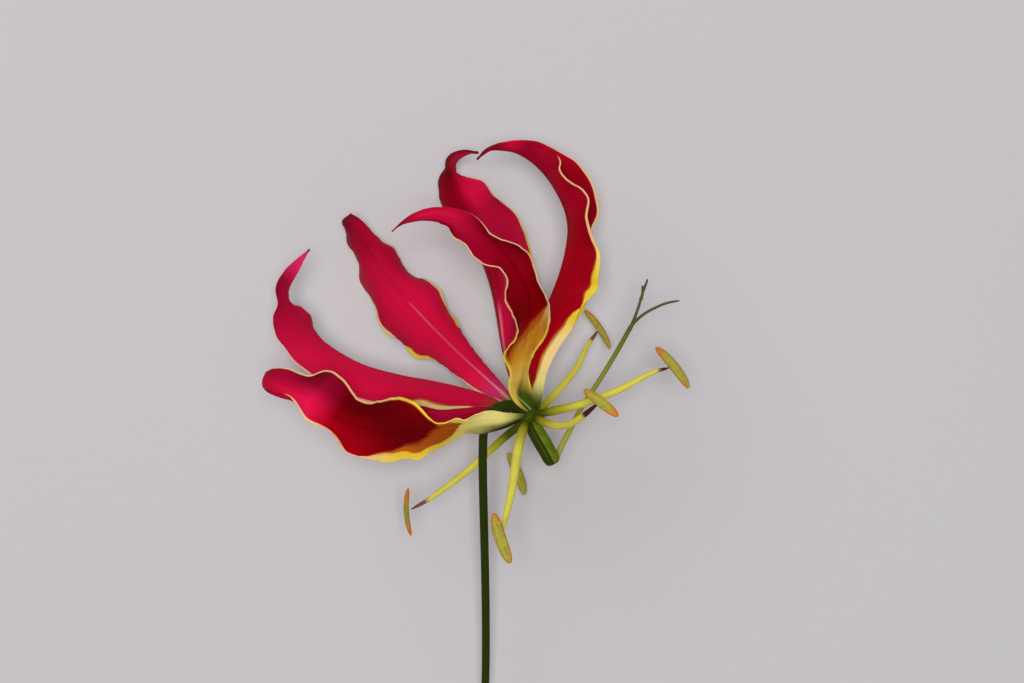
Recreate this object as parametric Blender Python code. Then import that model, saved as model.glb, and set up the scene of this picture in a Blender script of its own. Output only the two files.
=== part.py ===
# Flame lily bloom on a cut stem, lying down: six waved tepals swept back, six stamens, an ovary with a bent
# style, and a thin stem hooked at its top.
# Shape tables are in millimetres from the hub of the flower: x to the right, y towards the tepal tips, z up.
# x and y are as they look from EYE, straight above; z is the true height over the hub. in_space() turns them
# into true places.

import bmesh
import bpy
import numpy as np

MM = 0.001

HUB_PLACE = (11.4, 25.75, 41.08)
EYE = (-3.6, 17.2, 600.0)
FINE_POINTS = 400

TEPAL_THICKNESS = 0.64
TEPAL_TIP_HALF_WIDTH = 0.45
TEPAL_ROWS = 35
TEPAL_COLUMNS = 9
RUFFLE_REACH = 2.4
RUFFLE_SPAN = 0.085
TEPAL_BELLY = 1.3
BELLY_WIDTH = 8
NARROW_WIDTH = 2
NARROW_FADE = 3
STRAY_SHARE = 0.1
STRAY_COST = 400
FLAT_ROOT = 0.07
FLAT_TIP = 0.1

FILAMENT_ROWS = 9
FILAMENT_SIDES = 8
FILAMENT_RADII = [(0, 0.8), (0.12, 0.9), (0.5, 0.8), (0.8, 0.6), (0.93, 0.34), (1, 0.26)]
GIRTH_REACH = 0.1
ANTHER_SIDES = 8
ANTHER_THICKNESS = 1.3
OVARY_ROWS = 13
OVARY_SIDES = 12
OVARY_RADII = [(0, 0.9), (0.12, 1.45), (0.25, 1.85), (0.4, 1.95), (0.86, 1.95), (0.95, 1.65), (1, 1.1)]
STYLE_ROWS = 16
STYLE_SIDES = 8
STYLE_RADII = [(0, 0.6), (0.06, 0.7), (0.35, 0.62), (0.7, 0.56), (0.78, 0.44), (1, 0.32)]
ARM_ROWS = (7, 4)
ARM_SIDES = 7
ARM_RADII = [(0, 0.42), (1, 0.3)]
STEM_POINTS = 600
STEM_SIDES = 10
HOOK_SHARE = 0.13
HOOK_ROWS = 16
SHAFT_SHARE = 0.16
SHAFT_ROWS = 15
SHOULDER_SHARE = 0.004
STEM_RADII = [(0, 1.3), (0.005, 1.6), (0.016, 1.6), (0.024, 1.4), (0.05, 1.25), (0.09, 1.04), (1, 1.04)]

# Each tepal: its middle line from the hub to the tip, then its two waved edges.
# Front left tepal, its inner face turned up, the tip curled under.
TEPAL_A = {
    "middle": [
        (-1, -0.6, 2.2), (-6, -1.8, 5), (-12, -2.3, 8.6), (-18, -3.2, 11.2), (-25, -4.4, 13.6),
        (-32, -4.8, 16.2), (-40, -3.6, 19.4), (-48, -0.2, 22.8), (-55, 5, 25), (-60.5, 7.4, 24.4),
        (-63.3, 7.4, 21.5), (-62, 6.6, 18.6), (-59, 4.5, 17.2), (-56, 3, 16.6),
    ],
    "left": [
        (-0.3, -0.2, 2.6), (-5.3, 0.1, 5.6), (-8.9, 0.6, 8), (-12.5, -0.4, 10.8), (-14.9, -1.8, 13.2),
        (-16.9, -1.2, 13), (-20.6, -2.7, 16), (-23.3, -1.4, 17.5), (-26.4, 2.2, 18.5), (-30.5, 3.8, 20.5),
        (-35.3, 2.9, 23.5), (-38.4, 2.4, 25.5), (-40.8, 3.6, 26), (-43.4, 7.4, 26), (-46.8, 10.1, 27),
        (-49.7, 10, 29), (-52.3, 8.7, 30), (-54.4, 9.4, 29), (-56.6, 10.9, 27.5), (-60.2, 10.9, 25),
        (-62.4, 10, 21.5), (-61.2, 8.6, 18.6), (-58.6, 5.9, 17.2), (-56, 3, 16.6),
    ],
    "right": [
        (-1.8, -1.1, 1.7), (-5.3, -3.2, 4.4), (-8.9, -4.6, 6.5), (-11.8, -5, 8.2), (-14.2, -4.7, 10.5),
        (-16.6, -6, 10), (-19.2, -7.7, 11), (-23.3, -9.8, 13), (-28.6, -11.5, 15), (-34.8, -12, 18),
        (-38.6, -10.8, 19.5), (-43.4, -9.4, 20.5), (-46.6, -5, 24), (-49.7, -3.1, 25),
        (-52.8, -1.9, 24.5), (-54.6, 0.6, 25), (-56.2, 3, 25.5), (-58.4, 4.3, 24.8), (-61.2, 4.8, 23.5),
        (-62.8, 5.5, 21), (-61.6, 5, 18.6), (-58.8, 3.6, 17.2), (-56, 3, 16.6),
    ],
}

# Left tepal, seen from its side, behind the first.
TEPAL_B = {
    "middle": [
        (-2.2, -1.2, 0), (-5.2, 1.6, -0.5), (-8.9, 3.8, -1), (-16.1, 6, -2), (-23.3, 7.7, -3),
        (-30.5, 9, -4), (-40.1, 11.9, -5), (-48.5, 16.8, -5.8), (-51.8, 19.6, -6), (-54.6, 22.7, -6.2),
        (-57, 25.8, -6.2), (-58.2, 28.5, -6), (-58, 31.5, -5.8), (-56.6, 34.4, -5.4), (-54.8, 36.8, -5),
        (-52.2, 39.3, -4.5),
    ],
    "left": [
        (-2.2, -1.2, 1.1), (-5.2, 0.6, 1), (-9, 1.6, 1.2), (-16.5, 2.2, 1.6), (-26, 3, 2.2),
        (-33, 1.6, 2), (-42, 3.6, 0.9), (-50, 7.5, -0.2), (-53, 10, -1.2), (-56.4, 12.5, -1.6),
        (-58.2, 15.5, -1.4), (-60.3, 18.3, -2.2), (-60.9, 21.8, -2.4), (-60.9, 23.6, -3),
        (-59.6, 26.4, -4), (-60.4, 29, -4.6), (-60, 31.2, -4.4), (-58.4, 33.9, -4.2), (-55.7, 36.6, -4.2),
        (-52.2, 39.3, -4.5),
    ],
    "right": [
        (-2.2, -1.2, -1.1), (-5.2, 0.2, -2), (-9, -0.4, -3.2), (-16, -0.9, -5), (-26, -0.6, -7.4),
        (-34, 1, -9), (-42, 5.5, -10.6), (-48, 12, -11.6), (-51.4, 17.6, -11.4), (-51.5, 22.2, -10.8),
        (-53, 24.5, -10.2), (-55, 25.7, -9), (-57.2, 26.1, -8), (-57.3, 28.6, -7.2), (-56.8, 30.6, -7),
        (-54.9, 33.9, -6.4), (-53.6, 36.6, -5.6), (-52.2, 39.3, -4.5),
    ],
}

# Back left tepal, its outer face up; it rests on the floor.
TEPAL_C = {
    "middle": [
        (-1, -0.6, -2.2), (-4.8, 3.8, -7), (-10.1, 8.6, -14.5), (-17.3, 15.3, -23.5),
        (-24.5, 22.6, -29.5), (-31.7, 30.5, -32.5), (-37.3, 38.2, -31), (-41.4, 45, -25),
        (-42.3, 47.8, -20.5),
    ],
    "left": [
        (-1.8, -1.1, -1.7), (-7, 2.6, -8.5), (-11.8, 5.3, -15.5), (-16.1, 7.9, -22.5),
        (-20.9, 11.5, -28.5), (-23.4, 12.6, -32.5), (-26.6, 13.5, -33.5), (-29.3, 16.3, -34.5),
        (-33.4, 19.2, -38.5), (-35.6, 22, -38), (-36.2, 25.2, -38.5), (-38.2, 28.8, -40.5),
        (-40.1, 31.2, -40.7), (-40.5, 34, -39), (-40.3, 35.8, -36.5), (-41.8, 38.6, -34.5),
        (-43.2, 41, -32.5), (-43.3, 43.4, -29.5), (-44.4, 46.1, -24.5), (-42.3, 47.8, -20.5),
    ],
    "right": [
        (-0.3, -0.2, -2.6), (-4.6, 5.6, -9), (-8.4, 9.8, -16.5), (-13.2, 15.6, -24.5), (-16.6, 21, -30),
        (-18.8, 24.2, -33.5), (-20.2, 27.1, -34.5), (-22.3, 30.5, -37), (-26.2, 32.3, -38.5),
        (-28.1, 33.6, -38), (-30.9, 37.7, -36.5), (-31.9, 40.1, -36.5), (-34.3, 41.2, -34.5),
        (-37.2, 43.2, -30.5), (-39.1, 45.2, -27), (-41, 47, -23), (-42.3, 47.8, -20.5),
    ],
}

# Front middle tepal, its hollow inner face up, the tip swept to the left.
TEPAL_D = {
    "middle": [
        (1, 0.6, 2.2), (-1.4, 4.8, 6), (-0.8, 10, 9.8), (-0.4, 16, 13.8), (0.6, 22, 17.4),
        (0.4, 28, 21.4), (-2.2, 34, 24.8), (-6.4, 39.6, 27), (-12.2, 44.6, 28), (-19, 47.6, 28),
        (-25, 47.6, 27), (-32.4, 43.6, 25.5),
    ],
    "left": [
        (0.3, 0.2, 2.6), (-2.6, 2.2, 5.4), (-4.1, 4.6, 8), (-4.5, 7, 10.4), (-4, 9, 12.2), (-4.5, 11, 14),
        (-5.7, 13, 16), (-5, 15.2, 18.5), (-2.9, 17.4, 21.5), (-2.2, 19.8, 24), (-3.4, 23.5, 27.5),
        (-5.3, 27.4, 29.5), (-4.6, 31.8, 33), (-6.2, 34.7, 34), (-10.5, 35.8, 33.5), (-13.4, 38.4, 34.5),
        (-14.8, 40.6, 33), (-17.8, 42.2, 30), (-18.8, 44.6, 31), (-22.8, 46.3, 30.5), (-28.1, 46.4, 28.5),
        (-30.7, 45.2, 27), (-32.4, 43.6, 25.5),
    ],
    "right": [
        (1.8, 1.1, 1.7), (1.4, 5.6, 4.5), (0.5, 9.8, 7.8), (0.9, 12, 9.6), (2.2, 15, 12.5),
        (4.2, 17.9, 15.8), (5.3, 21.2, 20), (5.5, 24.5, 22.5), (4.8, 27.6, 25.5), (3.2, 30.4, 27.5),
        (2.2, 33.2, 28), (1.1, 37.2, 29), (-1, 39.6, 31), (-3.9, 41, 32), (-8.1, 42.4, 32),
        (-10.6, 45.3, 31), (-12.9, 47.6, 29.5), (-18.5, 49.5, 28.5), (-24.6, 49.3, 27.5), (-29, 47, 26.5),
        (-32.4, 43.6, 25.5),
    ],
}

# Back right tepal, its outer face up; it rests on the floor.
TEPAL_E = {
    "middle": [
        (1, 0.6, -2.2), (-2.2, 4, -7.2), (-4.3, 10, -14.5), (-5.6, 16.5, -21.5), (-6.6, 24, -27.5),
        (-7.6, 30, -31), (-9, 36.5, -33), (-11, 43, -33.5), (-13.8, 49.5, -32), (-17.2, 56.5, -28.5),
        (-18.5, 60, -25), (-17.2, 62.4, -21), (-14.5, 63, -17.5), (-11.7, 62.6, -15),
    ],
    "left": [
        (0.3, 0.2, -2.6), (-2.8, 4.6, -8.6), (-4.8, 10.6, -16.8), (-6.3, 16.6, -24.8), (-7.6, 24, -32),
        (-9, 30, -36), (-11.5, 37, -38), (-16, 44.5, -38), (-20.4, 49.8, -36), (-21.1, 53.3, -34),
        (-21.3, 55.8, -32.5), (-19.6, 59, -28.5), (-19.4, 61, -25), (-17.6, 62.9, -21.5),
        (-14.5, 63.5, -18), (-11.7, 62.6, -15),
    ],
    "right": [
        (1.8, 1.1, -1.7), (0.2, 4.2, -6.6), (-1.2, 9.6, -13.8), (0, 16.5, -22), (1.4, 24, -30.5),
        (2.2, 29.5, -36), (1.8, 34.6, -39.8), (0.8, 39.1, -40.7), (-0.2, 42.4, -39.8),
        (-1.3, 45.3, -38.5), (-2.5, 47.6, -37.5), (-4.8, 49.8, -36.5), (-8.2, 52.3, -35.5),
        (-9.5, 54.4, -34.5), (-11, 55.8, -33), (-14, 56.7, -30.5), (-16.4, 57.8, -27.5),
        (-16.9, 59.4, -24.5), (-16.2, 61, -21), (-14, 62.4, -17.4), (-11.7, 62.6, -15),
    ],
}

# Right tepal, the tallest arch, seen from its side.
TEPAL_F = {
    "middle": [
        (2.2, 1.3, 0), (1.8, 5.6, -0.5), (1.4, 11, -1), (2.4, 18, -1.5), (5.2, 26.4, -2), (7.8, 33.2, -2),
        (9.4, 39.2, -2), (9.9, 44.3, -2), (9.2, 48.3, -2), (7.4, 52.3, -2), (4.6, 56.6, -2),
        (0.8, 60.4, -2), (-3, 62.3, -2), (-6.2, 63, -2), (-9.5, 62.7, -1.8), (-12, 60.9, -1.5),
    ],
    "left": [
        (2.8, 0.9, 1.1), (3.5, 3, 1.2), (3.9, 5.4, 1.3), (4.7, 9.4, 1.8), (6.5, 13.6, 2.2),
        (8.5, 16.9, 2.6), (11, 20.6, 2.4), (12.2, 24, 3.8), (14.4, 27.7, 3), (16.7, 29.9, 2.4),
        (17.2, 32.6, 4), (17.4, 34.9, 4.6), (17.5, 38.4, 3.4), (16.2, 41.3, 4.4), (15.2, 43.8, 5.4),
        (14.4, 48, 5.6), (15, 51.3, 4), (13.1, 54, 4), (9.8, 55.9, 5.2), (7.9, 58.4, 4.6), (8, 61, 3),
        (4.6, 63.2, 2), (-1, 63.9, 1), (-4.2, 63.6, 0), (-8.2, 63.3, -1), (-12, 60.9, -1.5),
    ],
    "right": [
        (2.2, 1.3, -1.1), (3.8, 5, -2), (4.6, 9, -3.4), (6.3, 13, -4.6), (8.2, 16.5, -6), (11, 20.5, -7),
        (13.6, 25, -7.4), (15.4, 30, -8.8), (16.2, 35, -8.4), (15.4, 40, -9), (15.6, 44.3, -8),
        (16.8, 47, -8), (17.1, 49, -8.6), (16.5, 51.6, -8.4), (16, 54.7, -7.2), (14.4, 57.3, -7.6),
        (11.9, 60.4, -7.8), (9.6, 62, -7), (6, 63.9, -6.8), (2.7, 65.3, -6.2), (-1, 65.8, -5.2),
        (-4.8, 65.5, -4.4), (-8.1, 64.5, -3.4), (-10.2, 63.2, -2.4), (-12, 60.9, -1.5),
    ],
}

TEPALS = {"A": TEPAL_A, "B": TEPAL_B, "C": TEPAL_C, "D": TEPAL_D, "E": TEPAL_E, "F": TEPAL_F}

# Centre line of the stem: from the receptacle, over the hook, down to the cut end on the floor.
STEM_LINE = [
    (0.8, -1.4, 0), (0, 0, 0), (-1.4, 1.2, 0.6), (-3.4, 1.7, 2), (-5.8, 1.6, 3.5), (-8.1, 0.4, 4.3),
    (-9.7, -1.8, 4.2), (-10.4, -4.8, 3.2), (-10.8, -9, 1.4), (-10.9, -14, -0.8), (-10.7, -24, -5.2),
    (-10.4, -36, -10.5), (-10.1, -48, -15.8), (-9.9, -60, -21), (-10.2, -72, -26), (-10.6, -84, -31),
    (-11.2, -97, -36), (-12, -109, -40.1),
]

# Stamens: the line of the filament, which goes on to the middle of the anther, and how stout it is; the
# two ends of the anther, its width, and its turn about its length, in degrees.
STAMENS = {
    1: {
        "filament": [(1.9, -0.9, -1.8), (4.8, 2.2, -6), (8.6, 6.9, -12), (12.7, 13.4, -19.5)],
        "girth": 1.05,
        "anther": [(13.8, 24.7, -29.5), (20, 15.6, -26.5)],
        "width": 2.3,
        "turn": 10,
    },
    2: {
        "filament": [(2.5, -0.3, 0), (7.5, 1.2, 0.8), (12.7, 2.6, 1.4), (22.3, 5.8, 2.2), (30, 9.2, 2.6)],
        "girth": 1.15,
        "anther": [(31.1, 16, 2.4), (39, 6.3, 3.4)],
        "width": 2.6,
        "turn": 50,
    },
    3: {
        "filament": [(1.6, -0.8, 1.7), (4.9, -2.5, 7), (7.9, -3, 13), (10.3, -2.6, 18), (12.7, -1.2, 22.5)],
        "girth": 1.12,
        "anther": [(13.7, 5.5, 28), (21.8, -0.7, 33)],
        "width": 2.7,
        "turn": 30,
    },
    4: {
        "filament": [
            (-0.1, -1.8, 1.7), (-1.3, -5, 5.4), (-2.4, -9.5, 10), (-3.6, -18.5, 17.5), (-5, -25.6, 22.5),
        ],
        "girth": 1.3,
        "anther": [(-8.1, -24, 26.5), (-3.9, -36.2, 29.5)],
        "width": 3,
        "turn": 0,
    },
    5: {
        "filament": [
            (-1, -2.3, 0), (-5.6, -6, -1.5), (-10.1, -9.8, -3), (-14.9, -13.2, -4.2),
            (-23.3, -20.2, -5.2),
        ],
        "girth": 1.05,
        "anther": [(-29.3, -18, -5.5), (-28.6, -29.5, -5.5)],
        "width": 2.4,
        "turn": 0,
    },
    6: {
        "filament": [(-0.1, -1.8, -1.7), (-1.1, -5, -7), (-1.8, -9, -15), (-2.3, -12, -23)],
        "girth": 1,
        "anther": [(-4.2, -9.4, -32.5), (-0.1, -19.5, -31.5)],
        "width": 2.4,
        "turn": 40,
    },
}
ANTHER_RINGS = [(0.0, 0.35), (0.06, 0.72), (0.25, 0.96), (0.5, 1.0), (0.75, 0.96), (0.94, 0.72), (1.0, 0.35)]
ANTHER_SAG = 0.8
ANTHER_GAP = 0.6

OVARY_LINE = [(0.95, -1.85, 0), (2.3, -4.6, 0), (4.5, -8.4, 0), (6.6, -12.2, 0)]
STYLE_LINE = [
    (7.2, -11.9, -1.9), (7.45, -11, -2.2), (7.9, -9.6, -2.1), (8.6, -7.5, -2.1), (10.3, -4.1, -2.6),
    (12.4, 0.1, -3.5), (15.1, 4.4, -4.2), (18.2, 9.2, -4.8), (21.3, 14.6, -5), (25, 20.9, -5),
    (26.6, 25, -5), (27.8, 29, -5.4), (29, 32.2, -6),
]
STYLE_ARMS = [
    [(24.4, 19.9, -5), (28.1, 23.8, -4), (31, 25.4, -3.5), (33.8, 26.5, -3.2), (36.6, 27, -3)],
    [(27.5, 27.8, -5.2), (27.7, 29.2, -4.8), (27.7, 30.7, -4.4)],
]

GREEN = (0.13, 0.25, 0.03)
DARK_GREEN = (0.05, 0.12, 0.02)
YELLOW_GREEN = (0.45, 0.5, 0.06)
OLIVE = (0.3, 0.28, 0.06)
CRIMSON = (0.45, 0.005, 0.03)


# Curves and frames

def unit(vectors):
    """The vectors at length one."""
    length = np.linalg.norm(vectors, axis=-1, keepdims=True)
    return vectors / np.maximum(length, 1e-9)


def in_space(points):
    """True places, in millimetres from the hub, of points given as they look from EYE."""
    points = np.asarray(points, float)
    eye = np.array(EYE[:2])
    share = 1 - points[:, 2:3] / EYE[2]
    return np.column_stack([eye + (points[:, :2] - eye) * share, points[:, 2]])


def through(places, values, at):
    """A smooth curve through values at places, read at the places in at."""
    gap = np.diff(places)
    slope = np.diff(values, axis=0) / gap[:, None]
    bend = np.vstack([slope[:1], slope[:-1], slope[-1:]])
    bend[1:-1] = (slope[:-1] * gap[1:, None] + slope[1:] * gap[:-1, None]) / (gap[1:] + gap[:-1])[:, None]
    bend[0] = slope[0]
    i = np.clip(np.searchsorted(places, at, side="right") - 1, 0, len(gap) - 1)
    step = gap[i][:, None]
    t = np.clip((at - places[i])[:, None] / step, 0, 1)
    start = (2 * t**3 - 3 * t**2 + 1) * values[i] + (t**3 - 2 * t**2 + t) * step * bend[i]
    end = (3 * t**2 - 2 * t**3) * values[i + 1] + (t**3 - t**2) * step * bend[i + 1]
    return start + end


def evenly(points, count):
    """count points, evenly spaced, on a smooth curve through the points."""
    points = np.asarray(points, float)
    places = np.concatenate([[0], np.cumsum(np.sqrt(np.linalg.norm(np.diff(points, axis=0), axis=1)))])
    fine = through(places, points, np.linspace(0, places[-1], 60 * len(points)))
    run = np.concatenate([[0], np.cumsum(np.linalg.norm(np.diff(fine, axis=0), axis=1))])
    at = np.linspace(0, run[-1], count)
    return np.column_stack([np.interp(at, run, fine[:, i]) for i in range(3)])


def softened(rows, reach):
    """The rows, each the weighted mean of its neighbours; the two ends stay where they are."""
    weight = np.hanning(2 * reach + 3)[1:-1]
    weight /= weight.sum()
    head = 2 * rows[0] - rows[1:reach + 1][::-1]
    tail = 2 * rows[-1] - rows[-reach - 1:-1][::-1]
    long = np.concatenate([head, rows, tail])
    return np.column_stack([np.convolve(long[:, i], weight, "valid") for i in range(rows.shape[1])])


def keyed(keys, at):
    """The value at each place of a table of (place, value), in straight steps."""
    table = np.asarray(keys, float)
    return np.interp(at, table[:, 0], table[:, 1])


# Tepals

def places_along(edge, middle):
    """For each point of an edge, the share of the middle line it stands beside."""
    own = np.linspace(0, 1, len(edge))
    at = np.linspace(0, 1, len(middle))
    far = np.linalg.norm(edge[:, None] - middle[None], axis=2)
    far += STRAY_COST * np.maximum(0, np.abs(own[:, None] - at[None]) - STRAY_SHARE)
    inner = 1 - np.minimum(1, np.abs(own - 0.5) * 2) ** 6
    share = at[far.argmin(axis=1)] * inner + own * (1 - inner)
    share = softened(share[:, None], len(edge) // 12)[:, 0]
    share = np.maximum.accumulate(share + np.arange(len(edge)) * 1e-6)
    return (share - share[0]) / (share[-1] - share[0])


def edge_beside(points, middle, rows):
    """The edge, read at rows places spaced evenly along the middle line."""
    edge = evenly(in_space(points), FINE_POINTS)
    share = places_along(edge, middle)
    at = np.linspace(0, 1, rows)
    return np.column_stack([np.interp(at, share, edge[:, i]) for i in range(3)])


def flatness(places):
    """How much of the fold is taken out at each place: all of it at the root and at the tip."""
    root = np.clip(1 - places / FLAT_ROOT, 0, 1)
    tip = np.clip(1 - (1 - places) / FLAT_TIP, 0, 1)
    share = np.maximum(root, tip)[:, None]
    return share**2 * (3 - 2 * share)


def tepal_sheet(tepal, rows, columns):
    """The middle surface of a tepal: rows from hub to tip, columns from its left edge to its right edge."""
    fine = evenly(in_space(tepal["middle"]), FINE_POINTS)
    middle = fine[np.linspace(0, FINE_POINTS - 1, rows).round().astype(int)]
    along = unit(np.gradient(middle, axis=0))
    edges = [edge_beside(tepal[name], fine, rows) for name in ("left", "right")]
    flat = flatness(np.linspace(0, 1, rows))
    middle = middle * (1 - flat) + (edges[0] + edges[1]) / 2 * flat
    calm = [softened(edge, max(2, int(rows * RUFFLE_SPAN))) for edge in edges]
    inside = unit(calm[0] - middle) + unit(calm[1] - middle)
    sheet = np.zeros((rows, columns, 3))
    across = np.linspace(-1, 1, columns)
    for edge, soft, side in ((edges[0], calm[0], -1), (edges[1], calm[1], 1)):
        out = soft - middle
        width = np.linalg.norm(out, axis=1, keepdims=True)
        way = unit(out)
        lift = way * np.sum(inside * way, axis=1, keepdims=True) - inside
        lift = lift * TEPAL_BELLY * np.minimum(1, width / BELLY_WIDTH)
        for j in np.flatnonzero(across * side >= 0):
            share = abs(across[j])
            sheet[:, j] = middle + out * share + (edge - soft) * share**RUFFLE_REACH
            sheet[:, j] += lift * np.sin(np.pi * share)
    return widened(sheet, along)


def widened(sheet, along):
    """The sheet, with rows near the tip kept at least as wide as the tip's own width."""
    centre = sheet.mean(axis=1)
    span = sheet[:, -1] - sheet[:, 0]
    width = np.linalg.norm(span, axis=1)
    last = np.flatnonzero(width > 2 * TEPAL_TIP_HALF_WIDTH)[-1]
    share = np.linspace(-1, 1, sheet.shape[1])[:, None]
    for i in range(last + 1, len(sheet)):
        across = unit(span[last] - along[i] * (span[last] @ along[i]))
        sheet[i] = centre[i] + across * share * TEPAL_TIP_HALF_WIDTH
    return sheet


def sheet_normals(sheet):
    """The direction square to the sheet at each point; narrow rows have one direction for the whole row."""
    along = np.gradient(sheet, axis=0)
    own = unit(np.cross(along, np.gradient(sheet, axis=1)))
    span = sheet[:, -1] - sheet[:, 0]
    shared = unit(np.cross(along.mean(axis=1), span))[:, None]
    width = np.linalg.norm(span, axis=1)[:, None, None]
    share = np.clip((width - NARROW_WIDTH) / NARROW_FADE, 0, 1)
    return unit(own * share + shared * (1 - share))


def grid_triangles(rows, columns, start, turned):
    """Two triangles for each cell of a grid of points; turned swaps which way they face."""
    faces = []
    for i in range(rows - 1):
        for j in range(columns - 1):
            a = start + i * columns + j
            b, c, d = a + columns, a + columns + 1, a + 1
            cell = [(a, b, c), (a, c, d)] if j >= (columns - 1) // 2 else [(a, b, d), (b, c, d)]
            faces += [face[::-1] if turned else face for face in cell]
    return faces


def rim_triangles(rows, columns, start):
    """The narrow wall that joins the two faces of a tepal."""
    loop = list(range(columns))
    loop += [i * columns + columns - 1 for i in range(1, rows)]
    loop += [(rows - 1) * columns + j for j in range(columns - 2, -1, -1)]
    loop += [i * columns for i in range(rows - 2, 0, -1)]
    faces = []
    for here, following in zip(loop, loop[1:] + loop[:1]):
        faces += [(here, following, following + start), (here, following + start, here + start)]
    return faces


def tepal_body(tepal):
    """Points and faces of a tepal of even thickness."""
    sheet = tepal_sheet(tepal, TEPAL_ROWS, TEPAL_COLUMNS)
    offset = sheet_normals(sheet) * TEPAL_THICKNESS / 2
    points = np.concatenate([(sheet + offset).reshape(-1, 3), (sheet - offset).reshape(-1, 3)])
    count = TEPAL_ROWS * TEPAL_COLUMNS
    faces = grid_triangles(TEPAL_ROWS, TEPAL_COLUMNS, 0, False)
    faces += grid_triangles(TEPAL_ROWS, TEPAL_COLUMNS, count, True)
    faces += rim_triangles(TEPAL_ROWS, TEPAL_COLUMNS, count)
    return points, faces


# Round and oval sweeps

def carried_frames(line):
    """Directions along, and two across, at each point of a line, without twist."""
    along = unit(np.gradient(line, axis=0))
    first = np.cross(along[0], (0.3, 0.2, 0.93))
    across = [unit(first)]
    for t in along[1:]:
        last = across[-1]
        across.append(unit(last - t * (last @ t)))
    across = np.array(across)
    return along, across, np.cross(along, across)


def sweep(line, first, second, sides, across, other):
    """Points and faces of a closed sweep; first and second are its radii along the line."""
    angle = np.linspace(0, 2 * np.pi, sides, endpoint=False)
    rings = line[:, None]
    rings = rings + np.cos(angle)[None, :, None] * (across * first[:, None])[:, None]
    rings = rings + np.sin(angle)[None, :, None] * (other * second[:, None])[:, None]
    points = rings.reshape(-1, 3)
    faces = []
    for i in range(len(line) - 1):
        for j in range(sides):
            a = i * sides + j
            b = i * sides + (j + 1) % sides
            faces += [(a, b, b + sides), (a, b + sides, a + sides)]
    faces.append(tuple(reversed(range(sides))))
    faces.append(tuple(range((len(line) - 1) * sides, len(line) * sides)))
    return points, faces


def round_sweep(points, radii, rows, sides):
    """A round sweep along a smooth curve through points given as seen."""
    line = evenly(in_space(points), rows)
    along, across, other = carried_frames(line)
    radius = keyed(radii, np.linspace(0, 1, rows))
    return sweep(line, radius, radius, sides, across, other)


def stem_body():
    """The stem with the receptacle at its top."""
    line = evenly(in_space(STEM_LINE), STEM_POINTS)
    hook = np.linspace(0, HOOK_SHARE, HOOK_ROWS)
    shaft = np.linspace(SHAFT_SHARE, 1, SHAFT_ROWS)
    places = np.sort(np.concatenate([hook, shaft, [SHOULDER_SHARE]]))
    at = np.linspace(0, 1, STEM_POINTS)
    rows = np.column_stack([np.interp(places, at, line[:, i]) for i in range(3)])
    along, across, other = carried_frames(rows)
    radius = keyed(STEM_RADII, places)
    return sweep(rows, radius, radius, STEM_SIDES, across, other)


def anther_frame(stamen):
    """The middle of an anther, the way its filament reaches it, and its three directions."""
    ends = in_space(stamen["anther"])
    middle = ends.mean(axis=0)
    reach = unit(middle - in_space(stamen["filament"])[-1])
    long = unit(ends[1] - ends[0])
    back = unit(reach - long * (reach @ long))
    side = np.cross(long, back)
    turn = np.radians(stamen["turn"])
    side = side * np.cos(turn) - back * np.sin(turn)
    return ends, middle, reach, long, side, np.cross(side, long)


def anther_body(stamen):
    """A slim bar with round ends, its ends bent a little towards the filament."""
    ends, middle, reach, long, side, back = anther_frame(stamen)
    rings = np.array(ANTHER_RINGS)
    line = ends[0] + (ends[1] - ends[0]) * rings[:, :1]
    line = line + back * ANTHER_SAG * (4 * rings[:, :1] * (1 - rings[:, :1]) - 1)
    first = rings[:, 1] * stamen["width"] / 2
    second = rings[:, 1] * ANTHER_THICKNESS / 2
    ones = np.ones((len(rings), 1))
    return sweep(line, first, second, ANTHER_SIDES, side * ones, back * ones)


def filament_body(stamen):
    """The tapering stalk of a stamen, stopping just short of the middle of its anther."""
    ends, middle, reach, long, side, back = anther_frame(stamen)
    depth = 1 / np.hypot(reach @ side / (stamen["width"] / 2), reach @ back / (ANTHER_THICKNESS / 2))
    tip = middle - reach * (depth + ANTHER_GAP)
    line = evenly(np.vstack([in_space(stamen["filament"]), tip]), FILAMENT_ROWS)
    along, across, other = carried_frames(line)
    share = np.linspace(0, 1, len(line))
    stout = 1 + (stamen["girth"] - 1) * np.minimum(1, share / GIRTH_REACH)
    radius = keyed(FILAMENT_RADII, share) * stout
    return sweep(line, radius, radius, FILAMENT_SIDES, across, other)


# Objects

def plain_material(name, colour, roughness):
    """A plain surface of one colour."""
    material = bpy.data.materials.new(name)
    material.use_nodes = True
    surface = material.node_tree.nodes["Principled BSDF"]
    surface.inputs["Base Color"].default_value = (*colour, 1)
    surface.inputs["Roughness"].default_value = roughness
    return material


def add_object(name, body, colour, roughness=0.5):
    """A mesh object from points in millimetres and faces, its faces turned outward."""
    points, faces = body
    placed = (np.asarray(points) + HUB_PLACE) * MM
    mesh = bpy.data.meshes.new(name)
    mesh.from_pydata([tuple(p) for p in placed], [], faces)
    work = bmesh.new()
    work.from_mesh(mesh)
    bmesh.ops.recalc_face_normals(work, faces=work.faces)
    if work.calc_volume(signed=True) < 0:
        bmesh.ops.reverse_faces(work, faces=work.faces)
    work.to_mesh(mesh)
    work.free()
    mesh.materials.append(plain_material(name, colour, roughness))
    thing = bpy.data.objects.new(name, mesh)
    bpy.context.scene.collection.objects.link(thing)
    return thing


def join_solids(main, others):
    """The main object, with the other solids made one with it."""
    for other in others:
        union = main.modifiers.new("join", "BOOLEAN")
        union.operation = "UNION"
        union.object = other
    view = bpy.context.evaluated_depsgraph_get()
    mesh = bpy.data.meshes.new_from_object(main.evaluated_get(view))
    main.modifiers.clear()
    main.data = mesh
    for other in others:
        bpy.data.objects.remove(other)


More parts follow.
